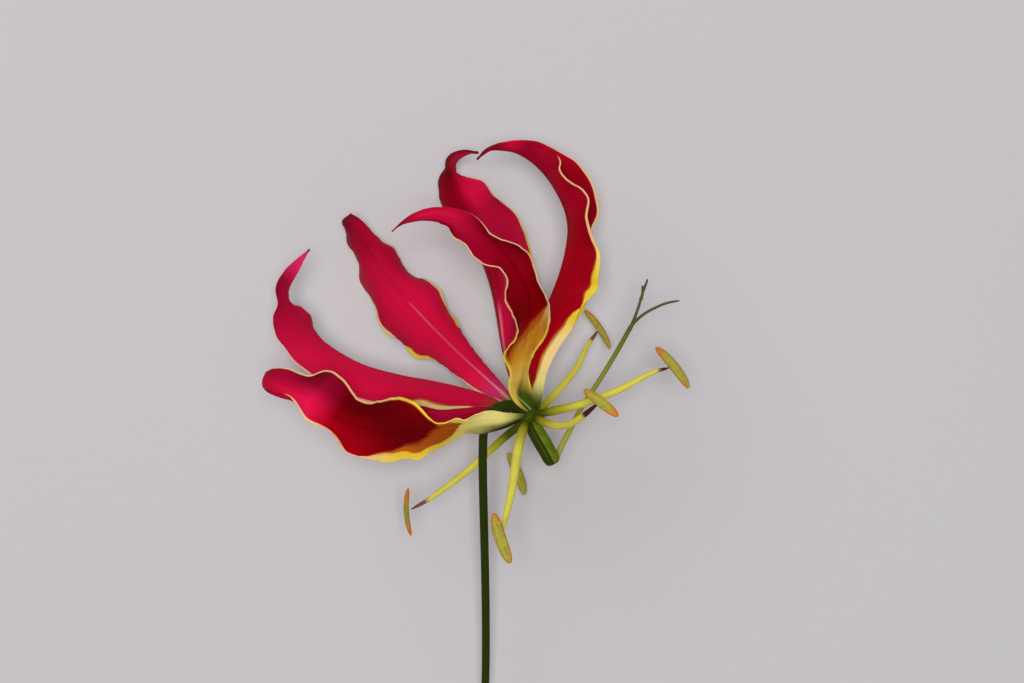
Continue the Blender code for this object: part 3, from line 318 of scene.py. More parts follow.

# Both faces share the rest. "inner_side" is the side of the sheet that the inner face stands on. As
# (share, value) come "cream", where the bands turn from yellow to cream, or below 0 to a deeper yellow
# near the root; "gild", how much yellow covers the orange; and "rib_shift", how far the line along the
# middle stands to the right of it. "claw" is how far up the green root goes, as (place across from -1 to
# 1, share). "left_shade" is painted shade that makes the left half darker. "shade" is painted light and
# shade on the folds, how much light is left, as (share, then at five places from the left edge to the right
# one); beyond the lower third it leaves the bands as they are.
PAINT = {
    "A": {
        "inner_side": 1,
        "inner": {
            "left": [
                (0, 6, 0.5), (0.18, 5, 1), (0.22, 2, 4), (0.25, 1.2, 5), (0.28, 1.6, 3), (0.3, 1, 1.4),
                (0.33, 0.7, 0.5), (0.42, 0.6, 0.4), (0.5, 0.4, 0.25), (0.6, 0.4, 0.2), (0.75, 0.3, 0.2),
                (0.84, 0.1, 0.1), (1, 0, 0),
            ],
            "right": [
                (0, 6, 0.5), (0.18, 5, 1), (0.21, 3, 3), (0.24, 1.2, 5), (0.28, 0.9, 6), (0.32, 1.3, 3.6),
                (0.36, 1.5, 3), (0.4, 1.7, 1.3), (0.44, 2, 0.8), (0.465, 1.4, 0.6), (0.49, 0.3, 0.3),
                (0.51, 0.1, 0.1), (0.54, 0.1, 0.1), (0.57, 0.45, 0.25), (0.68, 0.45, 0.25),
                (0.74, 0.25, 0.2), (0.8, 0, 0),
            ],
            "pink_and_highlight": [(0.61, 0), (0.65, 0.5), (0.7, 1.1), (0.8, 0.75), (0.88, 0.45), (1, 0.4)],
            "light": [
                (0.24, 0.55), (0.35, 0.38), (0.5, 0.44), (0.61, 0.48), (0.65, 0.9), (0.7, 1.25),
                (0.75, 1), (0.8, 0.95), (1, 0.8),
            ],
            "rib": [(0.35, 0, 0.4), (0.5, -0.3, 0.4), (0.7, 0, 0.4)],
        },
        "outer": OUTER,
        "cream": [(0.4, 0), (0.52, 0.8), (1, 1)],
        "gild": [(0, 1), (0.2, 0.9), (0.25, 0.75), (0.4, 0.75), (0.46, 0.9)],
        "claw": [(0, 0.03), (0.5, 0.06), (1, 0.13)],
        "shade": [
            (0, 0.6, 0.7, 0.7, 0.4, 0.4), (0.04, 0.9, 1, 1, 0.6, 0.4), (0.1, 1.1, 1.1, 1, 0.25, 0.2),
            (0.16, 1, 1, 0.85, 0.5, 0.35), (0.22, 1.1, 1, 0.7, 0.6, 0.6), (0.3, 1.2, 1.2, 1, 0.7, 0.7),
            (0.36, 1.8, 1.3, 1, 1, 1), (0.44, 1.3, 1, 1, 1.3, 1.3), (0.52, 1.1, 1, 1.6, 2.2, 2.4),
            (0.6, 1, 1, 1.8, 3, 3), (0.65, 0.5, 0.6, 1.4, 1.3, 1.1), (0.71, 0.25, 0.4, 1, 1, 0.8),
            (0.78, 0.6, 0.7, 1, 1.1, 1), (0.86, 0.6, 0.8, 1.1, 1.1, 1), (0.93, 1, 1, 1, 1, 1),
        ],
    },
    "B": {
        "inner_side": 1,
        "inner": {
            "left": INNER_BAND,
            "right": NO_BAND,
            "pink_and_highlight": [(0, 0.9)],
            "light": EVEN_LIGHT,
            "rib": NO_RIB,
        },
        "outer": {
            "left": [
                (0.13, 0, 0), (0.16, 0.3, 0.3), (0.2, 0.6, 0.4), (0.24, 1, 0.7), (0.3, 1.3, 0.7),
                (0.34, 1, 0.6), (0.38, 0.5, 0.4), (0.45, 0.5, 0.3), (0.6, 0.45, 0.25), (0.68, 0.2, 0.1),
                (0.72, 0, 0),
            ],
            "right": [(0, 0.3, 0.2), (0.3, 0.5, 0.3), (0.5, 0.3, 0.2), (0.62, 0, 0)],
            "pink_and_highlight": [(0, 0.9), (0.3, 0.7), (0.6, 0.85), (0.8, 0.9), (0.9, 1.2), (1, 1.5)],
            "light": [
                (0, 0.8), (0.29, 1), (0.52, 1.1), (0.66, 0.98), (0.75, 0.78), (0.88, 0.58), (0.93, 1.4),
                (0.97, 1.6), (1, 0.8),
            ],
            "rib": [(0, 0, 0.4), (0.3, -0.4, 0.4), (0.7, -0.5, 0.4), (1, 0, 0.4)],
        },
        "cream": [(0.3, 0.5), (0.36, 1)],
        "gild": [(0, 0.9), (0.3, 0.7), (0.4, 0.9)],
        "claw": [(0, 0.08)],
        "shade": [
            (0, 0.9, 1, 1, 1, 1), (0.1, 0.8, 1, 1, 1, 1), (0.2, 0.62, 1, 1, 1, 1),
            (0.33, 0.66, 1, 1, 1, 1), (0.38, 1, 1, 1, 1, 1), (0.76, 0.95, 1, 1, 1.2, 1.3),
            (0.85, 0.6, 0.75, 1, 1.2, 1.4), (0.92, 1, 1, 1, 1, 1),
        ],
    },
    "C": {
        "inner_side": 1,
        "inner": INNER,
        "outer": {
            "left": [
                (0, 1.6, 1), (0.09, 0.9, 0.6), (0.14, 0.5, 0.3), (0.3, 0.6, 0.3), (0.36, 0.1, 0.1),
                (0.44, 0, 0), (0.47, 1.2, 0.3), (0.53, 1.8, 0.3), (0.555, 0.1, 0.1), (0.585, 0.1, 0.1),
                (0.61, 1.5, 0.3), (0.67, 1.1, 0.3), (0.7, 0.3, 0.2), (0.76, 0.3, 0.1), (0.79, 0, 0),
            ],
            "right": [
                (0, 0.2, 0), (0.3, 0.1, 0), (0.45, 0, 0), (0.47, 1, 0.2), (0.51, 1, 0.2),
                (0.53, 0.15, 0.1), (0.57, 0.9, 0.3), (0.63, 1.1, 0.3), (0.66, 0.5, 0.2), (0.68, 0.05, 0),
                (0.74, 0.05, 0), (0.77, 0.5, 0.15), (0.82, 0.4, 0.1), (0.85, 0, 0),
            ],
            "pink_and_highlight": [(0, 1.6), (0.18, 1.3), (0.3, 0.75), (0.6, 0.8)],
            "light": [
                (0, 0.9), (0.18, 1), (0.26, 1.1), (0.36, 1.1), (0.45, 1.04), (0.6, 1.08), (0.8, 0.82),
                (0.9, 0.62), (1, 0.5),
            ],
            "rib": [
                (0, 1, 0.45), (0.1, 1, 0.4), (0.15, 0.9, 0.25), (0.2, 0.65, 0.2), (0.26, 0.45, 0.16),
                (0.36, 0.24, 0.14), (0.48, 0.22, 0.14), (0.56, 0.3, 0.14), (0.61, 0.15, 0.14),
                (0.66, -0.5, 0.16), (0.85, -0.5, 0.18), (1, 0, 0.18),
            ],
        },
        "cream": [(0.4, 1), (0.46, 0), (0.55, 0), (0.6, 0.7), (0.8, 1)],
        "gild": [(0, 1), (1, 0.9)],
        "claw": [(0, 0.08)],
        "shade": [
            (0, 1.2, 1, 1, 1, 1), (0.2, 1.3, 1.1, 1, 0.9, 1), (0.3, 1.1, 1.1, 1, 1, 1),
            (0.46, 0.9, 1, 1, 1, 1), (0.55, 0.65, 0.95, 1.05, 1, 0.9), (0.65, 0.65, 0.95, 1.05, 1.1, 0.7),
            (0.77, 0.8, 1, 1.1, 0.9, 0.85), (0.86, 0.75, 0.9, 1, 1.2, 1.4),
            (0.94, 0.6, 0.7, 1.2, 1.4, 1.5), (1, 1, 1, 1, 1, 1),
        ],
    },
    "D": {
        "inner_side": -1,
        "inner": {
            "left": [
                (0, 0.8, 0.3), (0.06, 1.2, 0.3), (0.12, 1.7, 0.4), (0.17, 1.8, 0.7), (0.21, 0.9, 0.4),
                (0.3, 0.5, 0.3), (0.5, 0.5, 0.25), (0.57, 0.35, 0.2), (0.6, 0.2, 0.15), (0.68, 0.12, 0.1),
                (0.71, 0.15, 0.15), (0.73, 0.3, 0.2), (0.77, 0.25, 0.2), (0.8, 0, 0),
            ],
            "right": [
                (0.14, 6, 1), (0.2, 6.5, 1.5), (0.27, 6, 2.5), (0.31, 4.2, 3), (0.36, 2.8, 2.5),
                (0.4, 1.8, 1.2), (0.43, 0.4, 0.3), (0.5, 0.3, 0.25), (0.6, 0.22, 0.2), (0.64, 0.1, 0.12),
                (0.7, 0.04, 0.1), (0.76, 0, 0),
            ],
            "pink_and_highlight": [(0.45, 0), (0.6, 0.25), (0.7, 0.5), (0.8, 0.9), (1, 0.8)],
            "light": [
                (0, 0.8), (0.15, 0.6), (0.3, 0.9), (0.4, 0.66), (0.5, 0.7), (0.6, 0.75), (0.7, 0.7),
                (0.8, 0.85), (0.9, 0.9), (0.94, 0.6), (0.97, 0.3), (1, 0.2),
            ],
            "rib": [
                (0, 1, 0.16), (0.08, 1, 0.2), (0.11, 0, 0.2), (0.35, 0, 0.3), (0.45, -0.3, 0.3),
                (0.7, -0.2, 0.3), (0.8, 0, 0.3),
            ],
        },
        "outer": OUTER,
        "cream": [(0, -0.8), (0.24, -0.4), (0.32, 0), (0.38, 0.35), (0.44, 0.85), (0.62, 0.95), (1, 1)],
        "gild": [(0, 0.8), (0.1, 0.6), (0.2, 0.5), (0.26, 0.35), (0.36, 0.35), (0.42, 0.8), (1, 0.9)],
        "claw": [(-1, 0.02), (-0.7, 0.03), (-0.5, 0.1), (-0.2, 0.13), (0.3, 0.11), (1, 0.07)],
        "shade": [
            (0, 1, 1.1, 1.2, 1, 1.2), (0.06, 0.8, 1.1, 1.4, 1.2, 1.3), (0.13, 1, 1.1, 0.95, 1.05, 1),
            (0.2, 1, 1.1, 1.1, 1.1, 1.1), (0.26, 1, 1, 1, 1, 1), (0.38, 1, 1, 1, 1, 1),
            (0.46, 1.5, 1.1, 1.05, 1.1, 1.4), (0.54, 1.3, 1.4, 1.1, 1.05, 1.3),
            (0.62, 1.8, 1.4, 0.9, 0.8, 0.8), (0.7, 1.7, 1.3, 0.9, 0.7, 0.8), (0.77, 0.5, 0.8, 1, 0.95, 1),
            (0.85, 0.6, 1, 1.15, 1.15, 1), (0.9, 1, 1, 1.2, 1.1, 1), (1, 1, 1, 1, 1, 1),
        ],
        "rib_shift": [(0, 0), (0.04, -0.4), (0.08, -1.2), (0.1, -1.5), (0.12, 0)],
    },
    "E": {
        "inner_side": 1,
        "inner": INNER,
        "outer": {
            "left": NO_BAND,
            "right": [
                (0.3, 0.3, 0.2), (0.46, 0.5, 0.3), (0.5, 0.7, 0.35), (0.56, 0.7, 0.3), (0.6, 0.5, 0.3),
                (0.64, 0.3, 0.2), (0.7, 0.25, 0.15), (0.74, 0.15, 0.1), (0.77, 0, 0),
            ],
            "pink_and_highlight": [(0, 0.85)],
            "light": [
                (0, 0.75), (0.3, 0.9), (0.45, 0.9), (0.6, 0.95), (0.75, 0.9), (0.82, 0.6), (0.95, 0.75),
                (1, 0.35),
            ],
            # On E the pale line along the middle is partly the midrib's own paleness and partly a painted
            # highlight on its keel.
            "rib": [(0, 0, 0.3), (0.18, 0.2, 0.3), (0.24, 0.4, 0.3), (0.38, 0.4, 0.3), (0.43, 0, 0.3)],
        },
        "cream": [(0.56, 0), (0.66, 0.9), (1, 1)],
        "gild": [(0, 1), (1, 0.9)],
        "claw": [(0, 0.1)],
        "shade": [
            (0, 1, 1, 1, 1, 1), (0.28, 1, 1.3, 1.3, 0.7, 0.7), (0.34, 1.2, 1.6, 1.5, 0.6, 0.6),
            (0.41, 1.2, 1.4, 1.4, 0.8, 0.7), (0.48, 1.1, 1.2, 1, 1.2, 1.1), (0.55, 1.3, 1.4, 1.1, 1, 1.1),
            (0.61, 1.6, 1.4, 0.85, 0.9, 1.1), (0.65, 1.3, 1.1, 0.9, 0.9, 0.8),
            (0.69, 1.1, 1, 1, 0.9, 0.6), (0.73, 1.3, 1.2, 1.2, 1.3, 1.4), (0.78, 1, 1, 1.2, 1.4, 1.9),
            (0.83, 0.9, 1, 1.1, 1.2, 1.2), (0.88, 1, 1, 1, 1, 1),
        ],
        # Painted shade on the left half.
        "left_shade": 1,
    },
    "F": {
        "inner_side": -1,
        "inner": {
            "left": [
                (0, 5, 1), (0.25, 2.4, 1), (0.3, 1.8, 0.6), (0.33, 1, 0.4), (0.345, 0.1, 0.1),
                (0.365, 0.3, 0.2), (0.4, 1.6, 0.6), (0.44, 1.4, 0.5), (0.5, 0.7, 0.3), (0.56, 0.4, 0.25),
                (0.75, 0.3, 0.2), (0.785, 0, 0),
            ],
            "right": [
                (0, 5, 0.5), (0.3, 2.4, 0.5), (0.5, 1, 0.5), (0.56, 0.6, 0.3), (0.62, 0.6, 0.3),
                (0.7, 0.35, 0.2), (0.78, 0.2, 0.15), (0.84, 0, 0),
            ],
            "pink_and_highlight": [(0, 0), (0.7, 0.1), (1, 0.5)],
            "light": ARCH_LIGHT,
            "rib": NO_RIB,
        },
        "outer": {
            "left": [
                (0, 4, 1), (0.06, 3, 0.6), (0.09, 2.2, 0.6), (0.12, 2.2, 0.8), (0.16, 2.4, 0.9),
                (0.2, 2.3, 0.9), (0.25, 2.2, 0.8), (0.3, 1.8, 0.6), (0.33, 1, 0.5), (0.35, 0.1, 0.2),
                (0.37, 0.4, 0.4), (0.4, 1.7, 0.7), (0.44, 1.5, 0.6), (0.47, 1.2, 0.5), (0.51, 0.7, 0.4),
                (0.6, 0.45, 0.2), (0.64, 0.3, 0.2), (0.74, 0.28, 0.2), (0.765, 0.15, 0.1), (0.785, 0, 0),
            ],
            "right": OUTER_BAND,
            "pink_and_highlight": [(0, 0), (0.55, 0.05), (0.75, 0.3), (0.85, 0.6), (1, 0.5)],
            "light": ARCH_LIGHT,
            "rib": NO_RIB,
        },
        "cream": [(0.08, 0), (0.14, 0.35), (0.24, 0.35), (0.32, 0), (0.46, 0), (0.56, 0.8), (1, 1)],
        "gild": [(0, 1), (0.2, 0.95), (0.3, 0.85)],
        "claw": [(-0.3, 0.055), (0.1, 0.05)],
        "shade": [
            (0, 1, 1, 1, 1, 1), (0.05, 1.3, 1.2, 1, 1, 1), (0.1, 0.85, 0.9, 1, 1, 1),
            (0.14, 1, 1, 1, 1, 1), (0.42, 1, 1, 1, 1, 1), (0.5, 0.72, 1, 1, 1, 0.8),
            (0.62, 0.7, 1, 1, 0.8, 0.7), (0.7, 0.9, 1, 1, 0.9, 0.9), (0.76, 0.75, 0.75, 0.8, 0.75, 1.2),
            (0.81, 0.8, 0.7, 0.75, 0.7, 1.2), (0.85, 0.6, 0.6, 0.7, 0.6, 0.8),
            (0.89, 1.2, 1, 1, 1.4, 1.7), (0.93, 0.7, 0.6, 0.6, 0.6, 0.8), (1, 1, 1, 1, 1, 1),
        ],
    },
}

# Centre line of the stem: from the receptacle, over the hook, down to the cut end on the floor.
STEM_LINE = [
    (1.3, -2.2, 0), (0, 0, 0), (-1.4, 1.2, 0.6), (-3.4, 1.7, 2), (-5.8, 1.6, 3.5), (-8.1, 0.4, 4.3),
    (-9.7, -1.8, 4.2), (-10.4, -4.8, 3.2), (-10.6, -9, 1.4), (-10.6, -14, -0.8), (-10.4, -24, -5.2),
    (-10.1, -36, -10.5), (-9.9, -48, -15.8), (-9.9, -60, -21), (-10.2, -72, -26), (-10.6, -84, -31),
    (-11.2, -97, -36), (-12, -109, -40.1),
]

# Stamens. The filament's line goes on to the middle of the anther, and "girth" is how stout it is. The
# anther has its two ends, its width, its turn about its length in degrees, and how thick the pollen lies
# at each end. "thread" is 1 where the filament ends in a pale thread. "brown" is how far its brown tip
# reaches down, and "green" how far its green root reaches up.
STAMENS = {
    1: {
        "filament": [
            (1.9, -0.9, -1.8), (4.6, 2.3, -6), (8.65, 6.7, -12), (12.05, 11.1, -16.5), (14.3, 15.8, -21.5),
        ],
        "girth": 1.05, "anther": [(14.3, 25, -29.5), (20.5, 15.7, -26.5)], "width": 2.3, "turn": 10,
        "pollen": (0.8, 0.3), "thread": 1, "brown": 5.6, "green": 4,
    },
    2: {
        "filament": [(2.5, -0.3, 0), (7.5, 0.8, 0.8), (12.8, 2.1, 1.4), (22.3, 5.75, 2.2), (30, 9.7, 2.6)],
        "girth": 1.15, "anther": [(31.3, 16.2, 2.4), (39.3, 6.3, 3.4)], "width": 2.8, "turn": 50,
        "pollen": (1, 0.5), "thread": 0, "brown": 3, "green": 5,
    },
    3: {
        "filament": [(1.6, -0.8, 1.7), (4.9, -2.5, 7), (7.9, -3, 13), (10.3, -2.6, 18), (12.7, -1.2, 22.5)],
        "girth": 1.12, "anther": [(13.5, 5.9, 28), (21.7, -0.4, 33)], "width": 2.4, "turn": 30,
        "pollen": (0.75, 1), "thread": 0, "brown": 7, "green": 5.5,
    },
    4: {
        "filament": [
            (-0.1, -1.8, 1.7), (-1.3, -5, 5.4), (-2.3, -9.5, 10), (-3.65, -18.5, 17.5), (-5.3, -25.6, 22.5),
        ],
        "girth": 1.3, "anther": [(-8.4, -24, 26.5), (-4.4, -36.1, 29.5)], "width": 3, "turn": 0,
        "pollen": (0.8, 0.4), "thread": 0, "brown": 2, "green": 5,
    },
    5: {
        "filament": [
            (-1, -2.3, 0), (-5.6, -6, -1.5), (-9.9, -9.9, -3), (-14.4, -13.9, -4.2), (-23.1, -20.35, -5.2),
        ],
        "girth": 1.05, "anther": [(-29.3, -18, -5.5), (-28.6, -29.5, -5.5)], "width": 2.4, "turn": 0,
        "pollen": (1, 0.8), "thread": 1, "brown": 5.4, "green": 8,
    },
    6: {
        "filament": [(-0.1, -1.8, -1.7), (-1.1, -5, -7), (-1.8, -9, -15), (-2.3, -12, -23)],
        "girth": 1, "anther": [(-4.2, -9.4, -32.5), (-0.1, -19.5, -31.5)], "width": 2.7, "turn": 40,
        "pollen": (0.1, 0.1), "thread": 0, "brown": 2, "green": 8,
    },
}

# Centre lines of the ovary, of the style and of the style's three arms.
OVARY_LINE = [(0.95, -1.85, 0), (2.3, -4.6, 0), (4.5, -8.4, 0), (6.6, -12.2, 0)]
STYLE_LINE = [
    (6.3, -11.4, 0), (6.75, -10.9, -0.9), (7.2, -10.2, -1.6), (7.8, -9, -1.9), (8.6, -7.2, -2.1),
    (10.3, -4.1, -2.6), (12.4, 0.1, -3.5), (15.1, 4.4, -4.2), (18.2, 9.2, -4.8), (21.4, 14.5, -5),
    (25, 20.9, -5),
]
STYLE_ARMS = [
    [(24.2, 19.6, -5), (25, 20.9, -5), (26.6, 25, -5), (27.8, 29, -5.4), (29, 32.2, -6)],
    [
        (24.2, 19.6, -5), (25.4, 21.4, -4.8), (28.1, 23.8, -4), (31, 25.4, -3.5), (33.8, 26.5, -3.2),
        (36.6, 27, -3),
    ],
    [(27.3, 27.2, -5.1), (27.7, 28.6, -5), (27.75, 29.6, -4.8), (27.7, 30.6, -4.5)],
]

# How the painting fades: the bands and the thin golden rim, in millimetres, and the painted shade of the
# left half.
BAND_FADE = 0.15
YELLOW_FADE = 0.3
ORANGE_FADE = 0.6
THIN_BAND = 0.2
RUN_OUT = 1.5
RIM_WIDTH = 0.4
RIM_FADE = 1.5
LEFT_SHADE_MIDDLE = 0.5
LEFT_SHADE_SLOPE = 2.5
LEFT_SHADE_ON_PINK = 0.8
LEFT_SHADE_ON_LIGHT = 0.25

# Gloss of each finish, and its tint.
TEPAL_GLOSS = (0.05, (1.0, 0.35, 0.5))
STALK_GLOSS = (0.06, (0.9, 1.0, 0.4))
STALK_ROUGHNESS = 0.4
FILAMENT_GLOSS = (0.06, (1.0, 1.0, 0.5))
ANTHER_GLOSS = (0.06, (1.0, 1.0, 0.6))
POLLEN_GLOSS = (0.05, (1.0, 1.0, 1.0))
OVARY_GLOSS = (0.12, (0.9, 1.0, 0.4))
FLOOR_GLOSS = (0.1, (1.0, 1.0, 1.0))
FLOOR_ROUGHNESS = 0.85

# Camera and floor, in millimetres, and the lamps, in metres: name, place, target and size.
CAMERA_PLACE = (7.8, 42.95, 641.08)
CAMERA_LENS = 87.9
CAMERA_SENSOR = 36
CAMERA_CLIP = 10
FLOOR_REACH = 3000
FRONT_LAMP = ("front lamp", (0.008, 0.043, 1.2), (0.008, 0.043, 0), 0.22)
SIDE_LAMP = ("side lamp", (-0.5, 0.6, 0.9), (0, 0.03, 0.04), 0.7)
LAMP_COLOUR = (1.0, 0.98, 0.96)
SKY_COLOUR = (0.93, 0.95, 1.0, 1.0)


def painted(red, green, blue):
    """A colour given as it looks on a screen, 0 to 255, as the scene's own numbers."""
    share = np.array([red, green, blue]) / 255
    linear = np.where(share <= 0.04045, share / 12.92, ((share + 0.055) / 1.055) ** 2.4)
    return tuple(float(v) for v in linear)


# Curves

def unit(vectors):
    """The vectors at length one."""
    length = np.linalg.norm(vectors, axis=-1, keepdims=True)
    return vectors / np.maximum(length, LEAST_LENGTH)


def in_space(points):
    """True places, in millimetres from the hub, of points given as they look from EYE."""
    points = np.asarray(points, float)
    eye = np.array(EYE[:2])
    share = 1 - points[:, 2:3] / EYE[2]
    return np.column_stack([eye + (points[:, :2] - eye) * share, points[:, 2]])


def through(places, values, at):
    """A smooth curve through values at places, read at the places in at."""
    gap = np.diff(places)
    slope = np.diff(values, axis=0) / gap[:, None]
    bend = np.vstack([slope[:1], slope[:-1], slope[-1:]])
    bend[1:-1] = (slope[:-1] * gap[1:, None] + slope[1:] * gap[:-1, None]) / (gap[1:] + gap[:-1])[:, None]
    i = np.clip(np.searchsorted(places, at, side="right") - 1, 0, len(gap) - 1)
    step = gap[i][:, None]
    t = np.clip((at - places[i])[:, None] / step, 0, 1)
    start = (2 * t**3 - 3 * t**2 + 1) * values[i] + (t**3 - 2 * t**2 + t) * step * bend[i]
    end = (3 * t**2 - 2 * t**3) * values[i + 1] + (t**3 - t**2) * step * bend[i + 1]
    return start + end


def evenly(points, count):
    """count points, evenly spaced, on a smooth curve through the points."""
    points = np.asarray(points, float)
    places = np.concatenate([[0], np.cumsum(np.sqrt(np.linalg.norm(np.diff(points, axis=0), axis=1)))])
    fine = through(places, points, np.linspace(0, places[-1], CURVE_STEPS * len(points)))
    run = run_along(fine)
    at = np.linspace(0, run[-1], count)
    return np.column_stack([np.interp(at, run, fine[:, i]) for i in range(3)])


def run_along(line):
    """Length of the line up to each of its points."""
    return np.concatenate([[0], np.cumsum(np.linalg.norm(np.diff(line, axis=0), axis=1))])


def softened(rows, reach):
    """The rows, each the weighted mean of its neighbours; the two ends stay where they are."""
    weight = np.hanning(2 * reach + 3)[1:-1]
    weight /= weight.sum()
    head = 2 * rows[0] - rows[1:reach + 1][::-1]
    tail = 2 * rows[-1] - rows[-reach - 1:-1][::-1]
    long = np.concatenate([head, rows, tail])
    return np.column_stack([np.convolve(long[:, i], weight, "valid") for i in range(rows.shape[1])])


def keyed(keys, at, column=1):
    """The value at each place of a table of (place, value or values), in straight steps."""
    table = np.asarray(keys, float)
    return np.interp(at, table[:, 0], table[:, column])


def ramp(values, start, width):
    """0 up to start, 1 from a width further on, straight between."""
    return np.clip((values - start) / width, 0, 1)


def faded_ends(at, ends):
    """1 along the middle, fading to 0 at the root and at the tip."""
    return ramp(at, 0, ends[0]) * ramp(1 - at, 0, ends[1])


def crowded_shares(count):
    """count shares from 0 to 1, crowded at both ends."""
    return 0.5 - 0.5 * np.cos(np.pi * np.linspace(0, 1, count))


def crowded(points, count):
    """count points on a smooth curve, crowded at its two ends, and the share of the length at each."""
    fine = evenly(points, FINE_POINTS)
    share = crowded_shares(count)
    even = np.linspace(0, 1, len(fine))
    return np.column_stack([np.interp(share, even, fine[:, i]) for i in range(3)]), share


def angles_round(count):
    """count angles, evenly all the way round."""
    return np.linspace(0, 2 * np.pi, count, endpoint=False)


def directions_across(line):
    """Two directions across a line at each of its points, without twist."""
    along = unit(np.gradient(line, axis=0))
    across = [unit(np.cross(along[0], OVARY_START))]
    for t in along[1:]:
        last = across[-1]
        across.append(unit(last - t * (last @ t)))
    across = np.array(across)
    return across, np.cross(along, across)


# Materials

class Nodes:
    """A tree of nodes that grows one node at a time."""

    def __init__(self, tree):
        self.tree = tree

    def add(self, kind, settings, inputs):
        """Adds a node of a kind, with its settings and the values or links of its sockets."""
        node = self.tree.nodes.new(kind)
        for name, value in settings.items():
            setattr(node, name, value)
        for key, value in inputs.items():
            self.feed(node.inputs[key], value)
        return node

    def node(self, kind, settings, inputs, output=0):
        """What comes out of a new node, at the output that is wanted."""
        return Value(self, self.add(kind, settings, inputs).outputs[output])

    def feed(self, socket, value):
        """Links a value to a socket, or sets a number or colour on it."""
        if isinstance(value, Value):
            self.tree.links.new(value.socket, socket)
        else:
            socket.default_value = value


class Value:
    """What comes out of a node, with arithmetic that adds the nodes for it."""

    def __init__(self, nodes, socket):
        self.nodes = nodes
        self.socket = socket

    def worked(self, operation, *others):
        """What an operation makes of the values, in their order."""
        return self.nodes.node("ShaderNodeMath", {"operation": operation}, dict(enumerate(others)))

    def __add__(self, other):
        return self.worked("ADD", self, other)

    __radd__ = __add__

    def __sub__(self, other):
        return self.worked("SUBTRACT", self, other)

    def __rsub__(self, other):
        return self.worked("SUBTRACT", other, self)

    def __mul__(self, other):
        return self.worked("MULTIPLY", self, other)

    __rmul__ = __mul__

    def rise(self, low, high):
        """0 at low, 1 at high, smooth between."""
        inputs = {0: self, 1: low, 2: high, 3: 0.0, 4: 1.0}
        return self.nodes.node("ShaderNodeMapRange", {"interpolation_type": "SMOOTHSTEP"}, inputs)


class Finish(Nodes):
    """A material and its nodes."""

    def __init__(self, name, gloss):
        self.material = bpy.data.materials.new(name)
        self.material.use_nodes = True
        super().__init__(self.material.node_tree)
        self.surface = self.tree.nodes["Principled BSDF"].inputs
        self.feed(self.surface["Specular IOR Level"], gloss[0])
        self.feed(self.surface["Specular Tint"], opaque(gloss[1]))

    def carried(self, name):
        """A number that the mesh carries under that name."""
        return self.node("ShaderNodeAttribute", {"attribute_name": name}, {}, "Fac")

    def places(self):
        """The place on the object, in metres."""
        return self.node("ShaderNodeTexCoord", {}, {}, "Object")

    def spot(self, x, y, z=0.0):
        """Three numbers as one vector."""
        return self.node("ShaderNodeCombineXYZ", {}, {0: x, 1: y, 2: z})

    def noise(self, vector, scale, detail=2.0, rough=0.5):
        """Soft noise between 0 and 1."""
        inputs = {"Vector": vector, "Scale": scale, "Detail": detail, "Roughness": rough}
        return self.node("ShaderNodeTexNoise", {}, inputs)

    def blend(self, factor, first, second):
        """first where factor is 0, second where it is 1."""
        inputs = {0: factor, 6: opaque(first), 7: opaque(second)}
        return self.node("ShaderNodeMix", {"data_type": "RGBA"}, inputs, 2)

    def shaded(self, colour, amount):
        """The colour, each of its parts times the amount."""
        plain = colour if isinstance(colour, Value) else tuple(colour[:3])
        inputs = {0: plain, "Scale": amount}
        return self.node("ShaderNodeVectorMath", {"operation": "SCALE"}, inputs)

    def relief(self, height, strength, distance):
        """A bumped surface from a height, over a distance in millimetres."""
        inputs = {"Height": height, "Strength": strength, "Distance": distance * MM}
        self.feed(self.surface["Normal"], self.node("ShaderNodeBump", {}, inputs))

    def finished(self, colour, roughness):
        """The material, with its colour and its roughness linked."""
        self.feed(self.surface["Base Color"], colour)
        self.feed(self.surface["Roughness"], roughness)
        return self.material


def opaque(colour):
    """A colour with its fourth number, or a link as it is."""
    return colour if isinstance(colour, Value) else (*colour[:3], 1.0)


def tepal_red(skin, look, vein, cloud):
    """Crimson or pink red with lengthwise veins, more magenta at some roots, darker along some midribs."""
    # Deep red turns to pink red: partly the tepal's own pink, partly a painted highlight.
    pink_and_highlight = skin.carried("pink_and_highlight")
    red = skin.blend(pink_and_highlight, look.deep_red, look.pink_red)
    red = skin.blend((pink_and_highlight - 1).rise(0, 0.6), red, look.base_magenta)
    # The light number is painted light and shade on the red.
    red = skin.shaded(red, skin.carried("light") * (0.72 + vein * 0.4 + cloud * 0.16))
    dark_rib = (0 - skin.carried("rib")).rise(0, 1)
    return skin.shaded(red, 1 - dark_rib * 0.5)


def tepal_band_colours(skin, look, along):
    """The yellow of the bands, paler at the root and cream where it has turned, and the orange beside it."""
    cream = skin.carried("cream")
    ripe = (along.rise(0.12, 0.34) - cream).rise(0, 1)
    yellow = skin.blend(ripe, look.pale_yellow, look.yellow)
    yellow = skin.blend(cream, yellow, look.cream)
    orange = skin.blend(cream.rise(0.6, 0.9), look.orange, look.coral)
    return yellow, orange


